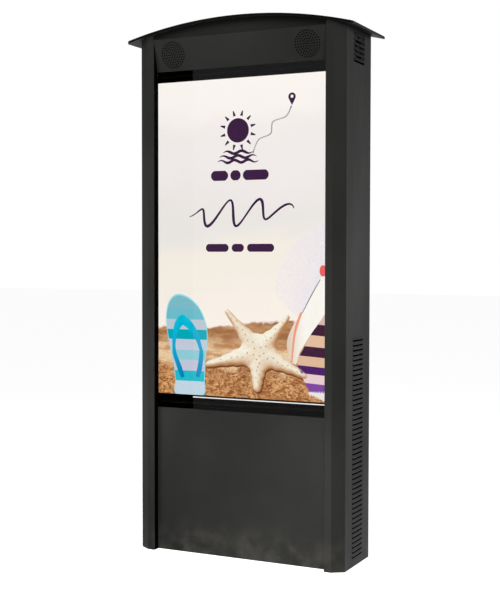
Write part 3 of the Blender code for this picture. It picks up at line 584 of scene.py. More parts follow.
def louvre_levels(start, count, fullness, window):
    """Rows up one column of louvres: height, how far it stands out, and how far down its window is cut."""
    levels = []
    steps = 7
    for row in range(count):
        base = start + row * LOUVRE_PITCH
        levels.append((base, 0.0, window))
        for step in range(steps + 1):
            share = step / steps
            out = LOUVRE_PROUD * fullness * math.cos(share * math.pi / 2) ** 1.3
            levels.append((base + share * LOUVRE_HEIGHT, out, 0.0))
    return levels


def louvre_columns():
    """Depths across a louvre, with how far its rounded ends have risen from 0 to 1."""
    rise = 0.0065
    steps = 6
    ends = [
        (rise * (1 - math.cos(a)), math.sin(a)) for a in (i * math.pi / 2 / steps for i in range(steps + 1))
    ]
    front = [(LOUVRE_FRONT + reach, share) for reach, share in ends]
    rear = [(LOUVRE_REAR - reach, share) for reach, share in reversed(ends)]
    return front + rear


def side_panel(name, side):
    """Recess return, post, chamfer, louvred side and rear flange, pressed from one sheet."""
    chamfer_x = OPENING_HALF + POST_FACE_WIDTH
    path = [(OPENING_HALF, RECESS - GAP), (OPENING_HALF, 0), (chamfer_x, 0), (BODY_HALF, CHAMFER_DEPTH)]
    path += [(BODY_HALF, BODY_DEPTH), (BODY_HALF - REAR_FLANGE, BODY_DEPTH)]
    columns = [(x, depth, 0.0) for x, depth in rounded(path, FOLD_RADIUS)]
    cut = next(i for i, column in enumerate(columns) if column[1] > LOUVRE_FRONT)
    columns[cut:cut] = [(BODY_HALF, depth, share) for depth, share in louvre_columns()]
    levels = [(0.0, 0.0, 0.0)] + louvre_levels(*LOW_LOUVRES) + louvre_levels(*HIGH_LOUVRES)
    columns = columns[::side]

    bm = bmesh.new()
    rows = []
    for z, out, cut_down in levels:
        spots = []
        for x, depth, share in columns:
            spots.append((side * (x + out * share), FRONT_Y + depth, z - cut_down * share))
        rows.append([bm.verts.new(spot) for spot in spots])
    tops = [(side * x, FRONT_Y + depth, roof_height(x, ROOF_EDGE) - GAP) for x, depth, share in columns]
    rows.append([bm.verts.new(spot) for spot in tops])
    torn = {i for i in range(len(levels) - 1) if levels[i][0] == levels[i + 1][0]}
    for i, (lower, upper) in enumerate(zip(rows, rows[1:])):
        if i in torn:
            continue
        for j in range(len(columns) - 1):
            face = bm.faces.new((lower[j], lower[j + 1], upper[j + 1], upper[j]))
            # Faces of the recess wall beside the screen take the matt black: painted shade.
            inside = all(abs(vert.co.x) < OPENING_HALF + 0.0001 for vert in face.verts)
            face.material_index = 1 if inside else 0
    bmesh.ops.remove_doubles(bm, verts=bm.verts, dist=0.00001)
    mesh = bpy.data.meshes.new(name)
    bm.to_mesh(mesh)
    bm.free()
    smooth_shaded(mesh, 50)
    made = finished(name + "_skin", mesh, "cabinet", [PAINT, MATT_BLACK_AND_SHADE], [name])
    solid = made.modifiers.new("thickness", "SOLIDIFY")
    solid.thickness = PANEL_SKIN
    solid.offset = -1
    solid.use_even_offset = False
    soften(made, 0)


def arch_solid(half_width, top_drop, bottom, depth, facets=96):
    """A closed solid under the canopy's arc, down to a drop or a level, between two depths."""
    bm = bmesh.new()
    rows = []
    reach = math.asin(half_width / ROOF_RADIUS)
    for step in range(facets + 1):
        x = ROOF_RADIUS * math.sin(reach * (2 * step / facets - 1))
        low = bottom if bottom > 1 else roof_height(x, bottom)
        spots = [(y, z) for y in depth for z in (roof_height(x, top_drop), low)]
        rows.append([bm.verts.new((x, FRONT_Y + y, z)) for y, z in spots])
    for a, b in zip(rows, rows[1:]):
        for i, j in ((0, 2), (3, 1), (1, 0), (2, 3)):
            bm.faces.new((a[i], b[i], b[j], a[j]))
    for row in (rows[0], rows[-1]):
        bm.faces.new((row[0], row[1], row[3], row[2]))
    bmesh.ops.recalc_face_normals(bm, faces=bm.faces)
    return bm


def roof_canopy():
    """The curved canopy, with rounded tips and rim, hollow over the cabinet."""
    bm = arch_solid(ROOF_HIGH.x, 0, ROOF_EDGE, (ROOF_LOW.y - FRONT_Y, ROOF_HIGH.y - FRONT_Y))
    tip = ROOF_HIGH.x - 0.002
    corners = [e for e in bm.edges if all(abs(v.co.x) > tip for v in e.verts)]
    corners = [e for e in corners if abs(e.verts[0].co.y - e.verts[1].co.y) < 1e-6]
    bmesh.ops.bevel(bm, geom=corners, offset=ROOF_CORNER, segments=8, profile=0.5, affect="EDGES")
    mesh = bpy.data.meshes.new("roof_canopy_skin")
    bm.to_mesh(mesh)
    bm.free()
    for face in mesh.polygons:
        # Faces turned to the front take the rim's darker coat: painted shade.
        face.material_index = 1 if face.normal.y < -0.5 else 0
    looks = [PAINT, RIM_SHADED_PAINT]
    made = finished("roof_canopy_skin", mesh, "cabinet", looks, ["roof_canopy"])
    smooth_shaded(mesh)
    pocket = bpy.data.meshes.new("pocket")
    inside = arch_solid(OPENING_HALF - 0.004, ROOF_SKIN, 1.9, (SHEET + GAP, BODY_DEPTH - SHEET - GAP), 48)
    inside.to_mesh(pocket)
    inside.free()
    cutter = bpy.data.objects.new("pocket", pocket)
    bpy.context.scene.collection.objects.link(cutter)
    hollow = made.modifiers.new("hollow", "BOOLEAN")
    hollow.object = cutter
    bpy.context.view_layer.update()
    cut = bpy.data.meshes.new_from_object(made.evaluated_get(bpy.context.evaluated_depsgraph_get()))
    made.modifiers.clear()
    made.data = cut
    bpy.data.objects.remove(cutter)
    soften(made, 0.0014, 3)
    # The roof's rounded edges take the rim's painted shade as well.
    made.modifiers["edges"].material = 1


def speaker_panel():
    """The tilted front over the screen, with fine round holes in rings at each loudspeaker."""
    height = (SPEAKER_TOP - SPEAKER_BOTTOM) / math.cos(SPEAKER_TILT)
    half = OPENING_HALF - GAP
    curve = bpy.data.curves.new("speaker_panel_skin", "CURVE")
    curve.dimensions = "2D"
    curve.fill_mode = "BOTH"
    curve.extrude = PANEL_SKIN / 2 - 0.0002
    curve.bevel_depth = 0.0002
    curve.bevel_resolution = 1

    def loop(points):
        spline = curve.splines.new("POLY")
        spline.points.add(len(points) - 1)
        for point, (u, v) in zip(spline.points, points):
            point.co = (u, v, 0, 1)
        spline.use_cyclic_u = True

    loop([(-half, -height / 2), (half, -height / 2), (half, height / 2), (-half, height / 2)])
    sides = 14
    for side in (-1, 1):
        for ring in range(PERFORATION_RINGS + 1):
            holes = max(1, 6 * ring)
            for hole in range(holes):
                angle = 2 * math.pi * hole / holes
                middle = Vector((side * SPEAKER_X, 0)) + Matrix.Rotation(angle, 2) @ Vector(
                    (ring * PERFORATION_PITCH, 0)
                )
                turns = [2 * math.pi * step / sides for step in range(sides)]
                loop([middle + HOLE_RADIUS * Vector((math.cos(turn), math.sin(turn))) for turn in turns])
    drawn = bpy.data.objects.new("drawn_panel", curve)
    bpy.context.scene.collection.objects.link(drawn)
    mesh = bpy.data.meshes.new_from_object(drawn.evaluated_get(bpy.context.evaluated_depsgraph_get()))
    bpy.data.objects.remove(drawn)
    bm = bmesh.new()
    bm.from_mesh(mesh)
    bmesh.ops.remove_doubles(bm, verts=bm.verts, dist=0.000001)
    middle = Vector((0, FRONT_Y + RECESS / 2 + PANEL_SKIN / 2, (SPEAKER_TOP + SPEAKER_BOTTOM) / 2))
    tilt = Euler((math.pi / 2 + SPEAKER_TILT, 0, 0)).to_matrix().to_4x4()
    bmesh.ops.transform(bm, matrix=Matrix.Translation(middle) @ tilt, verts=bm.verts)
    shape = Shape()
    shape.take(bm, Matrix.Identity(4), 0)
    for z, depth in ((SPEAKER_TOP, 0.0005), (SPEAKER_BOTTOM + PANEL_SKIN, RECESS + 0.0005)):
        low = (-half, FRONT_Y + depth, z - PANEL_SKIN)
        shape.box(low, (half, FRONT_Y + depth + PANEL_FLANGE, z), edge=0.0004)
    behind = Matrix.Translation(
        Vector((0, FRONT_Y + RECESS / 2 + PANEL_SKIN + 0.0004, (SPEAKER_TOP + SPEAKER_BOTTOM) / 2))
    )
    for side in (-1, 1):
        cloth = bmesh.new()
        bmesh.ops.create_cone(cloth, cap_ends=True, segments=40, radius1=0.053, radius2=0.053, depth=0.0004)
        bmesh.ops.translate(cloth, verts=cloth.verts, vec=(side * SPEAKER_X, 0, 0))
        shape.take(cloth, behind @ tilt, 1)
    shape.named("speaker_panel_skin", "cabinet", "black_powder_coat", [PAINT, MATT_BLACK_AND_SHADE], ["speaker_panel"])


# Screen -------------------------------------------------------------------------------------------

def on_picture(u, v, layer):
    return Vector((-OPENING_HALF + u * MM, BACK_LAYER_Y - layer * LAYER_STEP, PICTURE_BOTTOM + v * MM))


class Film:
    """A flat part of the lit picture, drawn from outlines in millimetres."""

    def __init__(self, layer):
        self.layer = layer
        self.bm = bmesh.new()
        self.tint = self.bm.loops.layers.float_color.new("tint")

    def area(self, outline, colour, look=0):
        """One filled outline.  The colour is a tint, or a function of u and v that gives one."""
        corners = [self.bm.verts.new(on_picture(u, v, self.layer)) for u, v in outline]
        face = self.bm.faces.new(corners)
        face.material_index = look
        self.paint([face], colour)
        return face

    def paint(self, faces, colour):
        for face in faces:
            for corner in face.loops:
                u = (corner.vert.co.x + OPENING_HALF) / MM
                v = (corner.vert.co.z - PICTURE_BOTTOM) / MM
                corner[self.tint] = colour(u, v) if callable(colour) else colour

    def ribbon(self, line, widths, colour, look=0):
        """A stroke along a line of points, whose width is read evenly from the list of widths."""
        line = [Vector(point) for point in line]
        left, right = [], []
        for i, point in enumerate(line):
            along = (line[min(i + 1, len(line) - 1)] - line[max(i - 1, 0)]).normalized()
            share = i / (len(line) - 1) * (len(widths) - 1)
            low = min(int(share), len(widths) - 2)
            half = (widths[low] + (widths[low + 1] - widths[low]) * (share - low)) / 2
            across = Vector((-along.y, along.x)) * half
            left.append(point + across)
            right.append(point - across)
        for i in range(len(line) - 1):
            self.area([right[i], right[i + 1], left[i + 1], left[i]], colour, look)

    def disc(self, centre, radius, colour, look=0, sides=20, squash=1.0):
        turns = [2 * math.pi * step / sides for step in range(sides)]
        self.area(
            [(centre[0] + radius * math.cos(t), centre[1] + squash * radius * math.sin(t)) for t in turns],
            colour, look
        )

    def grid(self, row_points, colour, look=0):
        """Rows of points joined by quads, coloured at each corner."""
        rows = [[self.bm.verts.new(on_picture(u, v, self.layer)) for u, v in row] for row in row_points]
        for a, b in zip(rows, rows[1:]):
            for i in range(len(a) - 1):
                face = self.bm.faces.new((a[i], a[i + 1], b[i + 1], b[i]))
                face.material_index = look
                self.paint([face], colour)

    def split(self, point, normal):
        """Cuts every face along a line, so that stripes can be painted."""
        where = on_picture(*point, self.layer)
        across = Vector((normal[0], 0, normal[1]))
        geometry = [*self.bm.verts, *self.bm.edges, *self.bm.faces]
        bmesh.ops.bisect_plane(self.bm, geom=geometry, plane_co=where, plane_no=across)

    def named(self, name, looks):
        bmesh.ops.remove_doubles(self.bm, verts=self.bm.verts, dist=0.000001)
        bmesh.ops.recalc_face_normals(self.bm, faces=self.bm.faces)
        for face in self.bm.faces:
            if face.normal.y > 0:
                face.normal_flip()
        mesh = bpy.data.meshes.new(name)
        self.bm.to_mesh(mesh)
        self.bm.free()
        made = finished(name, mesh, "cabinet", looks)
        film = made.modifiers.new("film", "SOLIDIFY")
        film.thickness = LAYER_STEP * 0.4
        film.offset = -1


PRINT = printed("picture_print", 160, 0.06)
STARFISH = printed("picture_starfish", 110, 0.14)
CLOTH = printed("picture_cloth", 520, 0.14)
INK = printed("picture_ink", 30, 0.10)
BEACH = beach()
STRAW = straw()
PURPLE = srgb(54, 10, 62)


def striped(film, bounds, slope, colours):
    """Splits the film at each height in bounds and paints the stripes from the bottom up."""
    for v in bounds:
        film.split((400, v), (-slope, 1))
    for face in film.bm.faces:
        middle = face.calc_center_median()
        u = (middle.x + OPENING_HALF) / MM
        v = (middle.z - PICTURE_BOTTOM) / MM - slope * (u - 400)
        film.paint([face], colours[sum(v > bound for bound in bounds)])


def picture_sandal():
    outline = [
        (97, 384), (137, 371), (176, 340), (201, 297), (214, 250), (213, 199), (206, 138), (203, 65),
        (196, 6)
    ]
    outline += [(82, 4), (77, 59), (70, 115), (52, 193), (40, 254), (37, 306), (47, 350), (67, 376)]
    middle = Vector((126, 195))
    edge = Film(1)
    wider = [middle + (Vector(p) - middle) * 1.035 for p in smooth_line(outline, 5, True)]
    edge.area(wider, srgb(150, 226, 238))
    edge.named("picture_sandal_edge", [PRINT])
    sole = Film(2)
    sole.area(smooth_line(outline, 5, True), srgb(190, 210, 220))
    bounds = (53, 93, 135, 173, 215, 253, 292, 332)
    names = ((198, 218, 234), (36, 190, 206), (198, 202, 222), (146, 208, 220), (198, 206, 224))
    names += ((2, 172, 188), (190, 204, 218), (112, 192, 208), (126, 190, 204))
    striped(sole, bounds, 0.0, [srgb(*colour) for colour in names])
    sole.named("picture_sandal_sole", [PRINT])

    strap = Film(4)

    def blue(u, v):
        share = min(max((v - 60) / 240, 0), 1)
        shine = 0.5 + 0.5 * math.sin((u - 60) / 9)
        return srgb(0 + 18 * shine, 128 + 58 * share + 14 * shine, 188 + 30 * share + 8 * shine)

    left = smooth_line([(108, 293), (86, 268), (71, 218), (72, 163), (91, 112), (110, 66)])
    right = smooth_line([(104, 293), (137, 272), (169, 230), (185, 190), (191, 163), (184, 105), (174, 70)])
    strap.ribbon(left, (38, 34, 21, 14, 18, 22, 15), blue)
    strap.ribbon(right, (38, 33, 27, 17, 14, 19, 21, 14), blue)
    strap.disc((106, 296), 14, blue)
    strap.named("picture_sandal_strap", [PRINT])


def picture_starfish():
    """Five tapering arms lit from the upper left.  Height falls from each arm's ridge to its edge."""
    centre = Vector((436, 176))
    tips = [Vector(tip) for tip in ((302, 327), (556, 309), (624, 95), (430, 42), (220, 121))]
    blunt = (11, 11, 13, 19, 12)
    turns, rings = 220, 12

    def nearness(point):
        """0 on the ridge of the nearest arm and 1 at its edge, blended where the arms meet."""
        total = 0.0
        for tip, end in zip(tips, blunt):
            arm = tip - centre
            share = min(max((point - centre).dot(arm) / arm.length_squared, 0), 1)
            width = 30 * (1 - share) ** 2 + 14 * (1 - share) + end + 1.6 * math.sin(share * 31)
            total += math.exp(-7 * (point - centre - share * arm).length / width)
        return -math.log(total) / 7

    def height(point):
        return 26 * math.sqrt(max(0.0, 1 - max(0.0, nearness(point)) ** 2))

    def colour(u, v):
        point = Vector((u, v))
        step = 3
        slope_u = (height(point + Vector((step, 0))) - height(point - Vector((step, 0)))) / (2 * step)
        slope_v = (height(point + Vector((0, step))) - height(point - Vector((0, step)))) / (2 * step)
        normal = Vector((-slope_u, -slope_v, 1.0)).normalized()
        light = max(0.0, normal.dot(Vector((-0.35, 0.55, 0.76))))
        pits = 0.5 + 0.5 * math.sin(u * 0.35) * math.sin(v * 0.31 + u * 0.1)
        light = min(1.0, max(0.0, 1.18 * light - 0.10 * pits))
        shadow, cream = Vector((186, 128, 76)), Vector((255, 248, 232))
        return srgb(*(shadow + (cream - shadow) * light ** 0.8))

    rows = []
    for step in range(turns + 1):
        ray = Vector((math.cos(2 * math.pi * step / turns), math.sin(2 * math.pi * step / turns)))
        reach = 250.0
        while nearness(centre + ray * reach) > 1 and reach > 20:
            reach -= 2.0
        rows.append([centre + ray * reach * ring / rings for ring in range(rings + 1)])
    star = Film(3)
    star.grid(rows, colour)
    star.named("picture_starfish", [STARFISH])
    shade = Film(2)
    low = [row for row in rows if row[-1].y < centre.y - 8]
    shade.grid([[point + Vector((4, -7)) for point in row[::4]] for row in low], srgb(118, 66, 30))
    shade.named("picture_starfish_shadow", [STARFISH])
    knobs = Film(5)
    for tip in tips:
        across = (tip - centre).orthogonal().normalized()
        for step in range(1, 9):
            spot = centre + (tip - centre) * step / 9.5 + across * 7 * math.sin(step * 2.4)
            knobs.disc(spot, 3.4 - 0.15 * step, srgb(198, 156, 104), sides=8)
    knobs.named("picture_starfish_knobs", [STARFISH])


def picture_hat():
    crown = [(717, 655), (651, 638), (603, 607), (554, 554), (520, 486), (503, 409), (522, 378), (580, 325)]
    crown += [(614, 326), (686, 450), (717, 500)]
    film = Film(1)
    film.area(smooth_line(crown, 4, True), srgb(240, 232, 230))
    film.named("picture_hat_crown", [STRAW])

    def cream(u, v):
        share = min(max((u - 555) / 60, 0), 1)
        return srgb(226 + 28 * share, 204 + 46 * share, 186 + 58 * share)

    brim = Film(2)
    left = smooth_line(
        [(717, 505), (638, 371), (614, 326), (580, 284), (555, 230), (555, 184), (573, 142)], 5
    )
    right = smooth_line(
        [(717, 345), (706, 325), (680, 291), (653, 255), (630, 220), (604, 180), (590, 134)], 5
    )
    brim.grid([[a + (b - a) * share for share in (0, 0.25, 0.6, 1.0)] for a, b in zip(left, right)], cream)
    brim.named("picture_hat_brim", [PRINT])

    trim = Film(4)
    trim.ribbon(
        smooth_line([(612, 330), (597, 294), (585, 253), (577, 194), (573, 144)]), (9, 11, 8, 6),
        srgb(240, 158, 122)
    )
    trim.ribbon(smooth_line([(686, 452), (650, 392), (614, 326)]), (3, 4, 3), srgb(104, 128, 138))
    trim.disc((697, 484), 14, srgb(238, 96, 92), squash=1.5)
    trim.named("picture_hat_trim", [PRINT])


def picture_towel():
    outline = [(717, 345), (682, 292), (653, 255), (614, 187), (597, 158), (598, 127), (612, 99), (634, 53)]
    outline += [(660, 24), (717, -2)]
    towel = Film(3)
    towel.area(outline, srgb(75, 0, 60))
    names = ((84, 26, 22), (244, 232, 236), (132, 74, 172), (240, 214, 218), (72, 4, 104))
    names += ((232, 190, 160), (60, 0, 52), (236, 196, 166), (58, 0, 46), (226, 190, 186))
    striped(towel, (10, 51, 83, 117, 146, 182, 219, 262, 303), -0.06, [srgb(*colour) for colour in names])
    towel.named("picture_towel", [CLOTH])
    frill = Film(5)
    waves = [(644 + 5 * i, 30 - 0.25 * i + 5 * (-1) ** i) for i in range(16)]
    frill.ribbon(waves, (10, 16, 22), srgb(246, 240, 240))
    frill.named("picture_towel_frill", [CLOTH])


def picture_graphics():
    """Plain marks in the places of the lettering: a sun over waves, bars, a swash and a dotted path."""
    film = Film(6)
    film.disc((348, 1012), 46, PURPLE, sides=40)
    for ray in range(12):
        turn = math.radians(15 + ray * 30)
        out = Vector((math.cos(turn), math.sin(turn)))
        film.ribbon([Vector((348, 1012)) + out * 56, Vector((348, 1012)) + out * 76], (12, 4), PURPLE)
    for row, half in enumerate((62, 78, 86)):
        spots = [
            (348 + half * (2 * s / 40 - 1), 930 - 17 * row + 5 * math.sin(s / 40 * math.pi * (4 + row)))
            for s in range(41)
        ]
        film.ribbon(spots, (2, 11, 11, 11, 2), PURPLE)
    for start, width in ((233, 74), (316, 44), (369, 108)):
        film.ribbon([(start + 12, 843), (start + width - 12, 843)], (38, 38), PURPLE)
        for end in (start + 19, start + width - 19):
            film.disc((end, 843), 19, PURPLE)
    for start, width in ((211, 98), (322, 52), (387, 113)):
        film.ribbon([(start + 10, 569), (start + width - 10, 569)], (30, 30), PURPLE)
        for end in (start + 15, start + width - 15):
            film.disc((end, 569), 15, PURPLE)
    swash = []
    for step in range(121):
        share = step / 120
        reach = 62 * math.sin(math.pi * share) ** 0.6 * (1 - 0.35 * share)
        swash.append(
            (140 + 440 * share + 18 * math.sin(share * 22), 690 + 25 * share + reach * math.sin(share * 22))
        )
    film.ribbon(swash, (3, 9, 12, 7, 12, 7, 12, 8, 9, 3), PURPLE)
    route = smooth_line([(412, 927), (435, 973), (484, 994), (494, 1037), (547, 1055), (568, 1090)], 7)
    for spot in route:
        film.disc(spot, 2.6, PURPLE, sides=10)
    film.disc((571, 1126), 15, PURPLE, sides=28)
    film.area([(557.5, 1119), (571, 1094), (584.5, 1119)], PURPLE)
    film.named("picture_marks", [INK])
    film = Film(7)
    film.disc((571, 1127), 6, srgb(252, 246, 243), sides=16)
    film.named("picture_mark_centre", [PRINT])


def screen():
    """The lit picture, the black border behind the glass, and the module that holds them."""
    width = 2 * OPENING_HALF / MM
    height = (PICTURE_TOP - PICTURE_BOTTOM) / MM
    film = Film(0)
    film.area([(0, 0), (width, 0), (width, height), (0, height)], srgb(250, 245, 240))
    film.named("picture_beach", [BEACH])
    picture_sandal()
    picture_starfish()
    picture_hat()
    picture_towel()
    picture_graphics()

    border = Film(8)
    low = (GLASS_LOW.z - PICTURE_BOTTOM) / MM
    high = (GLASS_HIGH.z - PICTURE_BOTTOM) / MM
    line = (LIGHT_LINE_Z - LIGHT_LINE_HEIGHT / 2 - PICTURE_BOTTOM) / MM
    line_top = line + LIGHT_LINE_HEIGHT / MM
    line_left = (LIGHT_LINE_LEFT + OPENING_HALF) / MM
    black = srgb(0, 0, 0)
    border.area([(0, height), (width, height), (width, high), (0, high)], black)
    border.area([(0, line_top), (width, line_top), (width, 0), (0, 0)], black)
    border.area([(0, line), (line_left, line), (line_left, line_top), (0, line_top)], black)
    border.area([(0, low), (width, low), (width, line), (0, line)], black)
    border.named("glass_border_print", [BORDER])
    # A thin bright line below the picture, lit through a gap in the black border: a painted highlight.
    highlight_line = Film(7)
    highlight_line.area(
        [(line_left, line), (width, line), (width, line_top), (line_left, line_top)], srgb(252, 250, 246)
    )
    highlight_line.named("lower_painted_highlight", [PRINT])

    module = Shape()
    front = BACK_LAYER_Y + LAYER_STEP
    module.box((MODULE_LOW.x, front, MODULE_LOW.z), (MODULE_HIGH.x, front + 0.010, MODULE_HIGH.z), 0)
    inset = Vector((0.020, 0, 0.020))
    low, high = MODULE_LOW + inset, MODULE_HIGH - inset
    module.box((low.x, front + 0.009, low.z), (high.x, MODULE_HIGH.y, high.z), 1, 0.003)
    module.named("display_module_housing", "cabinet", "display", [DARK_PLASTIC, ZINC], ["display_module"])


# Fixings and equipment ----------------------------------------------------------------------------

def corners_of(low, high, inset):
    return [(x, z) for x in (low.x + inset, high.x - inset) for z in (low.z + inset, high.z - inset)]


def fixings():
    """Screws in the hinge leaves, the lock plate, the rear sheets and the equipment plate."""
    fixed, moving = Shape(), Shape()
    for label in ("bottom", "middle", "top"):
        low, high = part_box("hinge_frame_" + label)
        leaf = BODY_DEPTH + FRONT_Y + GAP + SHEET
        for z in (low.z + 0.010, low.z + 0.030):
            fixed.screw((low.x + 0.0065, leaf, z), "-Y", 0.0032)
        low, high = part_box("hinge_door_" + label)
        for z in (low.z + 0.010, low.z + 0.030):
            for x in (high.x - 0.006, high.x - 0.020):
                moving.screw((x, high.y, z), "-Y", 0.0032)
    low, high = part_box("lock_escutcheon")
    for z in (low.z + 0.008, high.z - 0.008):
        moving.screw(((low.x + high.x) / 2, high.y, z), "-Y", 0.0034)
    for name, rise in (("rear_header", -0.095), ("rear_sill", -0.035)):
        low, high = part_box(name)
        for side in (-1, 1):
            fixed.screw((side * (high.x - 0.008), high.y, high.z + rise), "-Y", 0.0036)
    low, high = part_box("equipment_plate")
    for x, z in corners_of(low, high, 0.010):
        fixed.screw((x, high.y, z), "-Y", 0.0040)
    for name in ("fan_housing_left", "fan_housing_right"):
        low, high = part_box(name)
        near, axis = (low.x, "-X") if low.x > 0 else (high.x, "X")
        for y in (low.y + 0.006, high.y - 0.006):
            for z in (low.z + 0.006, high.z - 0.006):
                fixed.screw((near, y, z), axis, 0.0032)
    fixed.named("cabinet_screws", "cabinet", "bright_steel", [STEEL])
    moving.named("door_screws", "door", "bright_steel", [STEEL])


CHIPS = {
    "display_driver_board": [
        (0.10, 1.13, 0.040, 0.040, 0.008),
        (0.19, 1.16, 0.060, 0.020, 0.010),
        (0.19, 1.09, 0.030, 0.030, 0.005),
    ],
    "touch_controller": [(0.11, 0.95, 0.030, 0.030, 0.004)],
    "audio_amplifier": [(-0.16, 0.95, 0.060, 0.026, 0.014)],
}


def circuit_board(name, chips):
    """A board screwed to its tray, with a fin block or a chip in each tall place and small parts round it."""
    low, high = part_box(name)
    face = low.y + 0.0080
    shape = Shape()
    shape.box(low, (high.x, low.y + 0.0060, high.z), 1, 0.0008)
    shape.box(
        (low.x + 0.002, low.y + 0.0061, low.z + 0.002), (high.x - 0.002, face, high.z - 0.002), 0, 0.0002
    )
    for x, z in corners_of(low, high, 0.006):
        shape.screw((x, face, z), "-Y", 0.0026, 2)
    for x, z, width, height, rise in chips:
        top = face + min(rise, 0.0030)
        shape.box(
            (x - width / 2, face - 0.0001, z - height / 2), (x + width / 2, top, z + height / 2), 3, 0.0004
        )
        fins = int(width / 0.005) if rise > 0.006 else 0
        for fin in range(fins):
            left = x - width / 2 + 0.0010 + fin * 0.005
            shape.box(
                (left, top - 0.0002, z - height / 2), (left + 0.0016, face + rise, z + height / 2), 3,
                0.0002
            )
    across, up = high.x - low.x - 0.022, high.z - low.z - 0.022
    for number in range(46):
        x = low.x + 0.011 + across * (number * 0.6180 % 1)
        z = low.z + 0.011 + up * (number * 0.4142 % 1)
        if all(abs(x - c[0]) > c[2] / 2 + 0.004 or abs(z - c[1]) > c[3] / 2 + 0.004 for c in chips):
            if number % 7 == 0:
                shape.bar((x, face + 0.0017, z), "-Y", 0.0032, 0.0036, 2)
            else:
                shape.box(
                    (x, face - 0.0001, z), (x + 0.0034, face + 0.0012, z + 0.0017), 3 + number % 2, 0.0001
                )
    shape.named(
        name + "_parts", "cabinet", "circuit_board", [BOARD, ZINC, STEEL, DARK_PLASTIC, CONTACT], [name]
    )


def rail_devices():
    """Terminal screws, blank labels and state windows of the rail's devices, and the thermostat's dial."""
    shape = Shape()
    for name in ("main_switch", "surge_protector", "thermostat"):
        low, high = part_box(name)
        middle = (low.x + high.x) / 2
        for x in (low.x + 0.009, high.x - 0.009):
            for z in (low.z + 0.007, high.z - 0.007):
                shape.bar((x, high.y, z), "-Y", 0.0042, 0.0006, 1)
                shape.screw((x, high.y, z), "-Y", 0.0028, 2)
        for z in (low.z + 0.016, high.z - 0.016):
            shape.box((low.x, high.y - 0.0002, z - 0.0004), (high.x, high.y + 0.0002, z + 0.0004), 1, 0)
        if name == "thermostat":
            shape.bar((middle, high.y + 0.0030, (low.z + high.z) / 2), "-Y", 0.0120, 0.0060, 1, 0.0012, 32)
            mark = (low.z + high.z) / 2
            shape.box(
                (middle - 0.0006, high.y + 0.0059, mark), (middle + 0.0006, high.y + 0.0063, mark + 0.011),
                0, 0
            )
        else:
            label = low.z + 0.021
            shape.box((low.x + 0.005, high.y, label), (high.x - 0.005, high.y + 0.0002, label + 0.009), 0, 0)
    low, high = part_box("surge_protector")
    for x in (low.x + 0.012, high.x - 0.012):
        shape.box((x - 0.003, high.y, 0.330), (x + 0.003, high.y + 0.0003, 0.336), 4, 0)
    shape.named(
        "rail_device_fronts", "cabinet", "grey_plastic", [CONTACT, DARK_PLASTIC, STEEL, GREY_PLASTIC, GREEN]
    )


def closed_units():
    """Cooling fins and ports on the media player, and a vented cover and terminals on the power supply."""
    shape = Shape()
    low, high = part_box("media_player")
    fins = 18
    for fin in range(fins):
        x = low.x + 0.014 + fin * (high.x - low.x - 0.028) / (fins - 1)
        shape.box(
            (x - 0.0014, high.y - 0.0004, low.z + 0.012), (x + 0.0014, high.y + 0.0040, high.z - 0.012), 0,
            0.0006
        )
    middle = (low.y + high.y) / 2
    for number, (width, height) in enumerate(
        ((0.016, 0.013), (0.016, 0.013), (0.015, 0.006), (0.015, 0.006), (0.009, 0.009))
    ):
        x = low.x + 0.030 + number * 0.033
        frame_low = (x - width / 2, middle - height / 2, low.z - 0.0008)
        shape.box(frame_low, (x + width / 2, middle + height / 2, low.z + 0.0004), 1, 0.0003)
        # The bottom of each port is a matt black plate: painted shade in the opening.
        hole_low = (x - width / 2 + 0.001, middle - height / 2 + 0.001, low.z - 0.0010)
        shape.box(hole_low, (x + width / 2 - 0.001, middle + height / 2 - 0.001, low.z - 0.0004), 2, 0)
    low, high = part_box("power_supply")
    # Matt black discs stand for the cover's vent holes: painted shade in the holes.
    for column in range(17):
        for row in range(9):
            x = low.x + 0.016 + column * 0.0092 + 0.0046 * (row % 2)
            shape.bar((x, high.y, low.z + 0.016 + row * 0.0096), "-Y", 0.0026, 0.0003, 2, 0.0001, 6)
    block = high.x - 0.024
    shape.box(
        (block, high.y - 0.004, low.z + 0.010), (high.x - 0.004, high.y + 0.0060, high.z - 0.010), 0, 0.0008
    )
    for terminal in range(7):
        z = low.z + 0.019 + terminal * 0.012
        shape.box(
            (block - 0.0002, high.y, z + 0.0055), (high.x - 0.0038, high.y + 0.0075, z + 0.0065), 0, 0.0002
        )
        shape.screw((high.x - 0.014, high.y + 0.0060, z), "-Y", 0.0036, 1)
    shape.named("closed_unit_details", "cabinet", "dark_plastic", [DARK_PLASTIC, STEEL, MATT_BLACK_AND_SHADE])


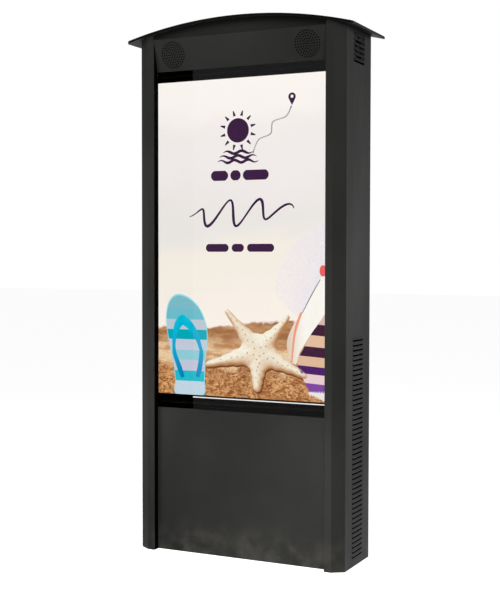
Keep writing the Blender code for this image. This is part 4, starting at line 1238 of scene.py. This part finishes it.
def filter_cassette(name):
    """A moulded frame with bars round a pleated fleece, behind a black insect screen on the outer side."""
    low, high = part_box(name)
    shape = Shape()
    rim = 0.007
    side = 1 if low.x > 0 else -1
    inner, outer = (low.x, high.x)[::side]
    screen = outer - side * 0.0012
    frame_outer = screen + side * 0.0003

    def part(start, end, y, z, look, edge):
        left, right = sorted((start, end))
        shape.box((left, y[0], z[0]), (right, y[1], z[1]), look, edge)

    part(screen, outer, (low.y, high.y), (low.z, high.z), 2, 0.0004)
    part(inner + side * 0.002, frame_outer, (low.y + rim, high.y - rim), (low.z + rim, high.z - rim), 1, 0)
    for z in (low.z, high.z - rim):
        part(inner, frame_outer, (low.y, high.y), (z, z + rim), 0, 0.0012)
    for y in (low.y, high.y - rim):
        part(inner, frame_outer, (y, y + rim), (low.z + rim - 0.0005, high.z - rim + 0.0005), 0, 0.0012)
    bars = 7
    for bar in range(1, bars):
        z = low.z + (high.z - low.z) * bar / bars
        part(
            inner + side * 0.0008, inner + side * 0.004, (low.y + 0.002, high.y - 0.002),
            (z - 0.002, z + 0.002), 0, 0.0006
        )
    shape.named(name + "_parts", "cabinet", "filter_mat", [DARK_PLASTIC, FLEECE, MATT_BLACK_AND_SHADE], [name])


# CAD nodes that stay ------------------------------------------------------------------------------

EDGES = {
    "arch_fascia": 0.0005,
    "lower_front_panel": 0.0,
    "rear_header": 0.0005,
    "rear_sill": 0.0005,
    "rear_door": 0.0012,
    "touch_glass": 0.0006,
    "base_plate": 0.0008,
    "equipment_plate": 0.0006,
    "door_gasket": 0.0015,
    "glass_gasket": 0.0015,
    "media_player": 0.0020,
    "power_supply": 0.0010,
    "main_switch": 0.0010,
    "surge_protector": 0.0010,
    "thermostat": 0.0010,
    "lock_case": 0.0010,
    "lock_escutcheon": 0.0009,
    "lock_handle": 0.0008,
    "fan_housing_left": 0.0008,
    "fan_housing_right": 0.0008,
}


def dress_cad_nodes():
    """Gives each CAD node the look of its slot, and rounds its edges."""
    for name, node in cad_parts.items():
        look = SLOT_LOOKS[node.data.materials[0].name.split(".")[0]]
        # The fascia takes the darker coat with painted shade under the canopy.
        if name == "arch_fascia":
            look = FASCIA_SHADED_PAINT
        for material_slot in node.material_slots:
            material_slot.material = look
        smooth = EDGES.get(name, 0.0004)
        soften(node, smooth, 2, weld=True)


# Stage --------------------------------------------------------------------------------------------

CAMERA_PLACE = (1.9496, -4.0349, 1.1528)
CAMERA_YAW = 26.008
CAMERA_DOWN = 2.0786
CAMERA_ROLL = 0.085
CAMERA_LENS = 69.56


def camera():
    data = bpy.data.cameras.new("camera")
    data.lens = CAMERA_LENS
    data.sensor_width = 36
    made = bpy.data.objects.new("camera", data)
    bpy.context.scene.collection.objects.link(made)
    yaw = Matrix.Rotation(math.radians(CAMERA_YAW), 4, "Z")
    pitch = Matrix.Rotation(math.radians(90 - CAMERA_DOWN), 4, "X")
    roll = Matrix.Rotation(math.radians(CAMERA_ROLL), 4, "Z")
    made.matrix_world = Matrix.Translation(CAMERA_PLACE) @ yaw @ pitch @ roll
    bpy.context.scene.camera = made


def standing(name, mesh, place, target=None):
    """A stage object at a place, whose +Z faces the target."""
    made = bpy.data.objects.new(name, mesh)
    made.location = place
    if target:
        made.rotation_euler = (Vector(target) - Vector(place)).to_track_quat("Z", "Y").to_euler()
    bpy.context.scene.collection.objects.link(made)
    return made


def sheet_mesh(name, width, height, look):
    bm = bmesh.new()
    bmesh.ops.create_grid(bm, x_segments=2, y_segments=2, size=0.5)
    bmesh.ops.scale(bm, vec=(width, height, 1), verts=bm.verts)
    mesh = bpy.data.meshes.new(name)
    bm.to_mesh(mesh)
    bm.free()
    mesh.materials.append(look)
    return mesh


def panel_light(name, place, target, size, radiance):
    """A soft box of even radiance that the camera doesn't see."""
    data = bpy.data.lights.new(name, "AREA")
    data.shape = "RECTANGLE"
    data.size, data.size_y = size
    data.energy = radiance * math.pi * size[0] * size[1]
    made = bpy.data.objects.new(name, data)
    bpy.context.scene.collection.objects.link(made)
    made.location = place
    made.rotation_euler = (Vector(target) - Vector(place)).to_track_quat("-Z", "Y").to_euler()
    made.visible_camera = False
    return made


# Strength of the surrounding light, from in front, behind and overhead
WORLD_FRONT = 0.05
WORLD_BACK = 0.60
WORLD_TOP = 0.10


def studio_world():
    """White to the camera.  To the object it is bright behind, dim in front and dim overhead."""
    world = bpy.data.worlds.new("studio")
    bpy.context.scene.world = world
    world.use_nodes = True
    tree = world.node_tree
    lighting = tree.nodes["Background"]
    split = tree.nodes.new("ShaderNodeSeparateXYZ")
    tree.links.new(tree.nodes.new("ShaderNodeTexCoord").outputs["Generated"], split.inputs[0])

    def span(value, low, high, to_low, to_high):
        made = tree.nodes.new("ShaderNodeMapRange")
        made.interpolation_type = "SMOOTHSTEP"
        tree.links.new(value, made.inputs["Value"])
        for socket, number in zip(("From Min", "From Max", "To Min", "To Max"), (low, high, to_low, to_high)):
            made.inputs[socket].default_value = number
        return made.outputs[0]

    product = tree.nodes.new("ShaderNodeMath")
    product.operation = "MULTIPLY"
    tree.links.new(span(split.outputs["Y"], -0.4, 0.7, WORLD_FRONT, WORLD_BACK), product.inputs[0])
    tree.links.new(span(split.outputs["Z"], 0.02, 0.22, 1.0, WORLD_TOP), product.inputs[1])
    tree.links.new(product.outputs[0], lighting.inputs["Strength"])
    lighting.inputs["Color"].default_value = (1, 1, 1, 1)
    seen = tree.nodes.new("ShaderNodeBackground")
    seen.inputs["Color"].default_value = (1, 1, 1, 1)
    path = tree.nodes.new("ShaderNodeLightPath")
    choice = tree.nodes.new("ShaderNodeMixShader")
    tree.links.new(path.outputs["Is Camera Ray"], choice.inputs[0])
    tree.links.new(lighting.outputs[0], choice.inputs[1])
    tree.links.new(seen.outputs[0], choice.inputs[2])
    tree.links.new(choice.outputs[0], tree.nodes["World Output"].inputs["Surface"])


def stage():
    """A pale floor in a white studio, soft boxes, and a black card that shades the left of the front."""
    studio_world()
    look = Look("pale_floor", 0.9, Specular_IOR_Level=0.0)
    look.set("Base Color", look.mix(look.noise(1.5, 3.0), srgb(228, 228, 228), srgb(234, 234, 234)))
    look.set("Emission Color", (1, 1, 1, 1))
    seen = look.add("ShaderNodeLightPath").outputs["Is Camera Ray"]
    look.set("Emission Strength", look.span(seen, 0.0, 1.0, 0.10, 0.94))
    floor = standing("floor", sheet_mesh("floor", 60, 60, look.material), (0, 0, -0.0006))
    floor.visible_glossy = False

    card = Look("black_card", 0.9, Specular_IOR_Level=0.0)
    card.set("Base Color", (0.002, 0.002, 0.002, 1))
    blocker = standing(
        "black_card", sheet_mesh("black_card", 2.4, 3.0, card.material), (-1.785, -1.8, 1.5), (0, -1.8, 1.5)
    )
    blocker.visible_camera = False
    blocker.visible_shadow = False

    panel_light("front_light", (-1.20, -3.0, 1.475), (-1.20, 0, 1.475), (1.17, 2.25), 0.14)
    panel_light("front_light_low", (-1.20, -3.0, 0.175), (-1.20, 0, 0.175), (1.17, 0.35), 0.02)
    panel_light("side_light", (3.6, 1.2, 2.7), (0.4, 0, 1.6), (2.0, 1.2), 3.0)
    fills = [
        panel_light("top_fill", (-0.1, -1.3, 3.2), (0, 0, 1.9), (1.2, 0.6), 7.0),
        panel_light("left_high_fill", (-1.3, -1.8, 1.9), (-0.3, 0, 1.5), (0.6, 1.0), 7.0),
        panel_light("left_low_fill", (-1.3, -1.6, 0.7), (-0.3, 0, 0.7), (0.6, 0.6), 10.0),
        panel_light("right_high_fill", (1.4, -1.5, 2.1), (0.3, 0, 1.8), (0.6, 0.6), 19.0),
        panel_light("right_low_fill", (0.2, -1.3, 0.3), (0.3, 0, 0.3), (0.5, 0.5), 18.0),
    ]
    for fill in fills:
        fill.visible_glossy = False
        fill.visible_transmission = False
    bpy.context.scene.view_settings.view_transform = "Standard"


camera()
stage()
dress_cad_nodes()
side_panel("side_panel_left", -1)
side_panel("side_panel_right", 1)
roof_canopy()
speaker_panel()
screen()
fixings()
for board_name, board_chips in CHIPS.items():
    circuit_board(board_name, board_chips)
rail_devices()
closed_units()
filter_cassette("filter_cassette_left")
filter_cassette("filter_cassette_right")
